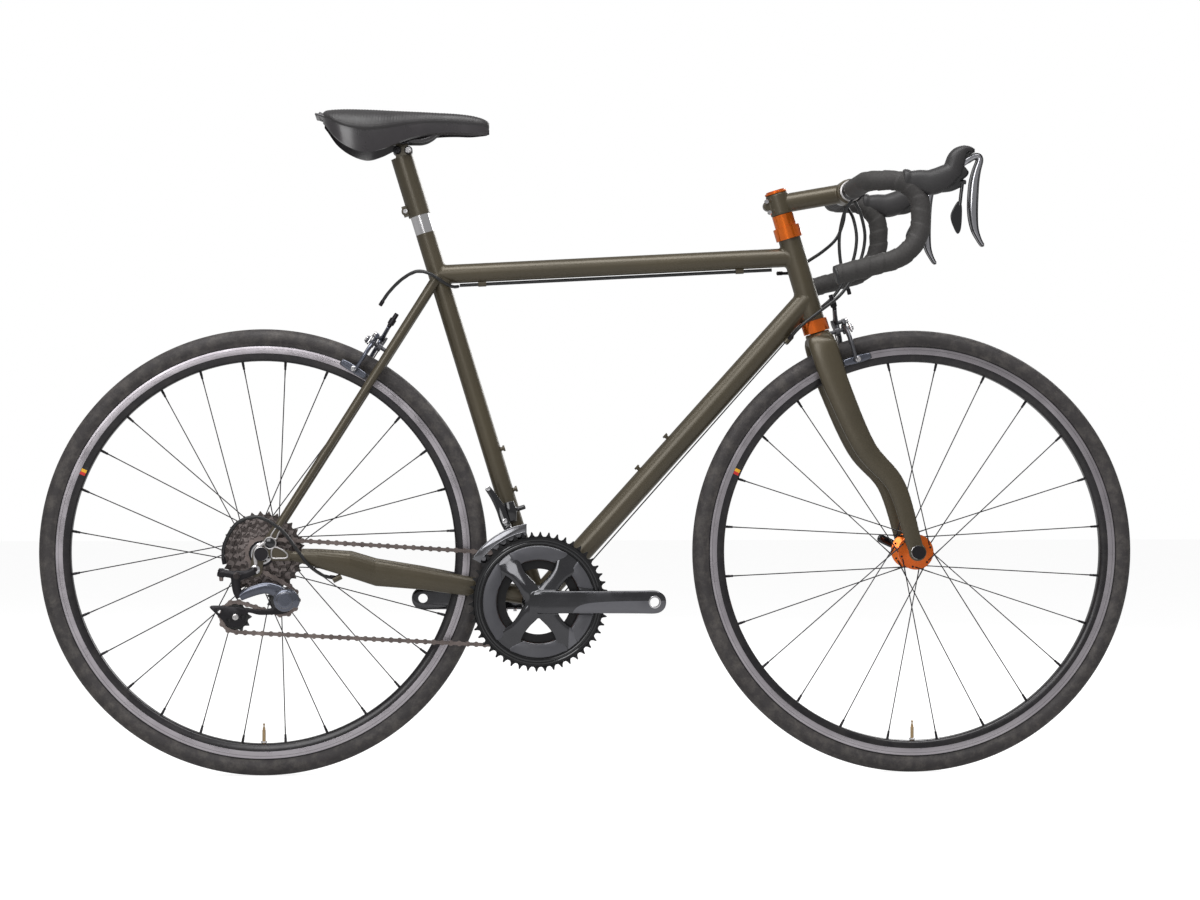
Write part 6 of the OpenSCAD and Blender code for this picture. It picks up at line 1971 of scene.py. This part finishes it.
def make_front_mech():
    chrome, gloss = M["dark_chrome"], M["black_gloss"]
    parts = [
        cage_blade(-47.6, -46.3, 105.6, 117.4, 98.5, 147.0, chrome),
        cage_blade(-35.2, -34.0, 94.5, 117.0, 98.5, 147.0, chrome),
    ]
    lip = [crank_at(x, z, -47.6) for x, z in disc_points((0, 0), 117.0, 30, 99, 146)]
    parts.append(tube("lip", lip, 1.1, chrome, 10))
    low = [crank_at(x, z, -47.4) for x, z in disc_points((0, 0), 106.2, 30, 101, 145)]
    parts.append(tube("lip", low, 0.9, chrome, 10))
    for angle in (102, 144):
        x, z = disc_points((0, 0), 112.0, 3, angle, angle + 8)[0]
        parts.append(tube("bridge", [crank_at(x, z, y) for y in (-47.2, -34.4)], 3.4, chrome, 16))
    link = [(crank_at(-44, 106, -37), 5, 6), (crank_at(-50, 120, -33), 4, 7),
            (crank_at(-56, 138, -30), 3.6, 7),
            (crank_at(-66, 156, -29), 3.2, 5.5), (crank_at(-76, 170, -29), 3, 4.4)]
    arm = fused("front_mech_arm", [shaped_sweep("arm", link, gloss, (0, 1, 0), 28, 6, 2.6),
                                   knob("foot", crank_at(-45, 108, 0), (-47.0, -33.0), 5.5, gloss)], 0.8, 4,
                                   gloss)
    ride(joined("front_mech_cage_and_arm", parts + [arm]), "front_mech", "front_mech_cage",
         slot="brake_metal")
    bolts = [socket_bolt(crank_at(-50, 120, -37.5), (0, -1, 0), 3.8, 1.8, M["polished"]),
             socket_bolt(crank_at(-75, 169, -32.0), (0, -1, 0), 3.4, 2.0, M["polished"])]
    ride(joined("front_mech_bolts", bolts), "front_mech", slot="brake_metal")
    seat = middle("front_mech_body")
    clamp = [(Vector((seat.x - 3, -20, seat.z - 15)), 8, 8), (Vector((seat.x - 4, -21, seat.z)), 9, 9),
             (Vector((seat.x - 7, -20, seat.z + 14)), 8, 8)]
    body = [shaped_sweep("body", clamp, gloss, (0, 1, 0), 28, 6, 2.8),
            tube("bolt", [Vector((seat.x + 2, -17, seat.z + 2)), Vector((seat.x + 18, -17, seat.z + 7))], 3.6,
                 gloss, 20)]
    ride(fused("front_mech_seat", body, 0.9, 4, gloss), "frame", "front_mech_body", slot="dark_metal")


# ---------------------------------------------------------------- brakes
FRONT_BRAKE_AT = on_steer(HEAD_LOW_UP - 26.0, 38.0)
PAD_IN = 12.8
PAD_OUT = 21.8


def brake_places():
    """Matrices that carry a brake drawn with its bolt along X to its two places."""
    turn = math.atan2(STEER_UP.x, STEER_UP.z)
    front = Matrix.Translation(FRONT_BRAKE_AT) @ Matrix.Rotation(turn, 4, "Y")
    mount = pivot("rear_brake_right_close")
    lean = math.atan2(joint("rear_brake_right_close")["axis"][2],
                      abs(joint("rear_brake_right_close")["axis"][0]))
    rear = Matrix.Translation(mount) @ Matrix.Rotation(abs(lean), 4, "Y") @ Matrix.Diagonal((-1, 1, 1, 1))
    return {"front": front, "rear": rear}


def brake_arm(side, x, pivot_at, horn, metal):
    def station(y, z, w, h):
        return (Vector((x, y, z)), w, h)

    parts = [
        shaped_sweep("leg", [station(pivot_at[0], pivot_at[1] + 4, 3.2, 6.5),
                             station(side * 22, -4, 3.2, 7.5),
                             station(side * 31, -18, 3.2, 7.0), station(side * 31.5, -32, 3.0, 6.0),
                             station(side * 27, -46, 2.9, 5.0), station(side * 25, -52, 2.8, 4.4)],
                     metal, (1, 0, 0), 24, 7, 2.8),
        shaped_sweep("horn", [station(side * 14, 2, 3.2, 6.5), station(pivot_at[0], pivot_at[1], 3.3, 7.5),
                              station((pivot_at[0] + horn[0]) / 2, (pivot_at[1] + horn[1]) / 2 + 2, 3.1, 5.5),
                              station(horn[0], horn[1], 3, 4.4)], metal, (1, 0, 0), 24, 7, 2.6),
        tube("boss", [Vector((x + k, pivot_at[0], pivot_at[1])) for k in (-3.4, -3.2, 3.2, 3.4)],
             [7, 7.6, 7.6, 7], metal, 32),
    ]
    return fused("arm", parts, 0.7, 4, metal)


def brake_pad(side, x0):
    holder = [(Vector((x0 + k, side * (PAD_OUT - 2.5), -49)), 2.6, h) for k, h in
              ((-18, 2.0), (-16.5, 4.6), (-4, 5.6), (12, 5.6), (22, 4.4), (24, 2.0))]
    rubber = [(Vector((x0 + k, side * (PAD_IN + 3.1), -49)), 3.0, h) for k, h in
              ((-18.5, 3.6), (-17.5, 5.2), (22, 5.2), (23.5, 3.6))]
    parts = [shaped_sweep("holder", holder, M["blue_grey"], (0, 1, 0), 20, 5, 3.0),
             shaped_sweep("rubber", rubber, M["pad"], (0, 1, 0), 20, 2, 5.0),
             socket_bolt(Vector((x0 + 3, side * (PAD_OUT + 7.2), -49)), (0, side, 0), 4.0, 2.6,
                         M["polished"]),
             tube("washer", [Vector((x0 + 3, side * k, -49)) for k in (PAD_OUT - 1, PAD_OUT + 8.0)], 4.6,
                  M["anthracite_satin"], 20)]
    return parts


def make_brakes():
    for end, matrix in brake_places().items():
        metal = M["anthracite_satin"] if end == "front" else M["blue_grey"]
        body = "steering" if end == "front" else "frame"
        left = [brake_arm(1, -3.7, (17, 12), (-12, 34), metal)] + brake_pad(1, -3.7)
        right = [brake_arm(-1, 3.7, (0, 0), (-22, 12), metal)] + brake_pad(-1, 3.7)
        barrel = [Vector((-3.6, -12, z)) for z in (33.0, 36.0, 37.0, 46.0, 47.0, 55.5, 56.0)]
        left.append(tube("adjuster", barrel, [3.4, 3.4, 5.0, 5.2, 3.6, 3.4, 2.8], M["black_anodised"], 20))
        right.append(socket_bolt(Vector((7.0, -20, 12)), (1, 0, 0), 4.0, 2.4, M["polished"]))
        quick = [(Vector((8.5, -20, 10)), 1.6, 3.4), (Vector((9.2, -26, 4)), 1.4, 3.4),
                 (Vector((9.2, -32, -6)), 1.2, 2.6)]
        right.append(shaped_sweep("release", quick, M["polished"], (1, 0, 0), 16, 5, 2.4))
        spring = [Vector((-8.4, y, z)) for y, z in ((14, 16), (26, 12), (30, 0), (29, -14), (26, -26))]
        left.append(tube("spring", smooth_path(spring, 6), 1.0, M["steel"], 10))
        for name, parts in (("left", left), ("right", right)):
            made = moved(joined(f"{end}_brake_{name}_caliper", parts), matrix)
            ride(made, f"{end}_brake_{name}", f"{end}_brake_{name}_arm", slot="brake_metal")
        trim = [socket_bolt(Vector((14.0, 0, 0)), (1, 0, 0), 4.6, 3.2, M["polished"]),
                socket_bolt(Vector((6.8, 17, 12)), (1, 0, 0), 4.2, 2.6, M["polished"])]
        ride(moved(joined(f"{end}_brake_bolts", trim), matrix), body, slot="dark_metal")


# ---------------------------------------------------------------- cables and quick releases
HOUSING_R = 2.5
BAR_ROUTES = (
    ((396, 46, 862), (405, 34, 842), (409, 27, 808), (400, 25, 768), (376, 26, 726), (345, 26, 698),
     (318, 24, 676),
     (300, 15, 656)),
    ((396, -46, 862), (407, -36, 842), (414, -28, 808), (405, -26, 768), (380, -26, 726), (346, -26, 698),
     (318, -24, 676), (300, -15, 656)),
    ((396, 62, 862), (392, 54, 838), (380, 44, 812), (358, 34, 792), (334, 30, 776), (312, 28, 760),
     (286, 16, 757)),
)
FRONT_BRAKE_ROUTE = ((390, -60, 862), (380, -52, 846), (374, -38, 810), (378, -22, 772), (388, -14, 742),
                     (393, -12, 724))
MECH_LOOP = ((-381, -57, 299), (-398, -62, 302), (-420, -74, 318), (-437, -80, 341), (-462, -81, 372),
             (-495, -81, 390), (-526, -80, 380), (-543, -78, 352), (-546, -76, 332), (-544, -75, 320))
REAR_BRAKE_ROUTE = ((-199, 0, 735), (-205, -9, 734), (-214, -20, 736), (-226, -27, 743), (-242, -28, 753),
                    (-262, -25, 756), (-284, -20, 744), (-304, -12, 724), (-316, -4, 706))


def housing(route):
    return tube("housing", smooth_path(route, 8), HOUSING_R, M["housing"], 16)


def ferrule(route, end):
    path = smooth_path(route, 8)
    at, ahead = (path[0], path[0] - path[1]) if end == 0 else (path[-1], path[-1] - path[-2])
    ahead.normalize()
    line = [at - ahead * 9, at - ahead * 8.6, at - ahead * 0.4, at]
    return tube("ferrule", line, [2.6, 3.1, 3.1, 2.7], M["black_anodised"], 16)


def make_cables():
    for i, route in enumerate(BAR_ROUTES):
        made = joined(f"bar_housing_{i + 1}", [housing(route), ferrule(route, 1)])
        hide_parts("bar_housings")
        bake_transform(made)
    front = joined("front_brake_cable_housing", [housing(FRONT_BRAKE_ROUTE), ferrule(FRONT_BRAKE_ROUTE, 1)])
    ride(front, "steering", "front_brake_housing", slot="housing")
    loops = [housing(MECH_LOOP), ferrule(MECH_LOOP, 0), ferrule(MECH_LOOP, 1), housing(REAR_BRAKE_ROUTE),
             ferrule(REAR_BRAKE_ROUTE, 1)]
    ride(joined("rear_cable_housings", loops), "frame", slot="housing")


def make_quick_releases():
    for end, axle, half, body in (("front", FRONT_AXLE, 57.0, "front_lever_qr"),
                                  ("rear", REAR_AXLE, 72.0, "rear_lever_qr")):
        owner = "steering" if end == "front" else "frame"
        nut = [axle + Vector((0, -half - k, 0)) for k in (-0.5, 0.6, 7.0, 9.4, 10.0)]
        parts = [tube("nut", nut, [9.0, 9.6, 9.2, 7.0, 3.0], M["black_anodised"], 40),
                 tube("nut_ring", [axle + Vector((0, -half - k, 0)) for k in (0.4, 0.6, 2.2, 2.4)],
                      [9.8, 10.3, 10.3, 9.8], M["polished"], 40)]
        ride(joined(end + "_axle_nut", parts), owner, slot="dark_metal")
        hinge_at = pivot(end + "_qr_swing")
        low, high = low_high(end + "_qr_lever")
        far = Vector(((low.x + high.x) / 2, high.y - 4, (low.z + high.z) / 2))
        reach = Vector((far.x - hinge_at.x, 0, far.z - hinge_at.z))
        tip = hinge_at + reach * 1.86
        stations = [(hinge_at, 4.0, 6.0), (hinge_at + reach * 0.5 + Vector((0, 1.5, 0)), 2.8, 5.4),
                    (hinge_at + reach * 1.1 + Vector((0, 1.0, 0)), 2.6, 6.6),
                    (tip + Vector((0, -0.5, 0)), 2.2, 6.2),
                    (tip + reach.normalized() * 2.2, 1.2, 3.0)]
        blade = shaped_sweep("blade", stations, M["black_gloss"], (0, 1, 0), 24, 7, 2.6)
        ride(joined(end + "_quick_release", [blade]), body, end + "_qr_lever", slot="dark_metal")


M["dark_chrome"] = finish("dark_chrome", rgb(0.22, 0.22, 0.235), rgb(0.15, 0.15, 0.16), 0.16, metallic=1.0,
                          coat=0.4,
                          coat_roughness=0.05, grain=(900.0, 0.05), handling=0.2)


# ---------------------------------------------------------------- build
make_studio()
make_floor()
dress_nodes()
make_wheels()
make_fillets()
make_fork()
make_stem()
make_bars()
make_controls()
make_saddle()
make_cranks()
make_cassette()
make_dropout_trim()
make_rear_mech()
make_front_mech()
make_brakes()
make_cables()
make_quick_releases()
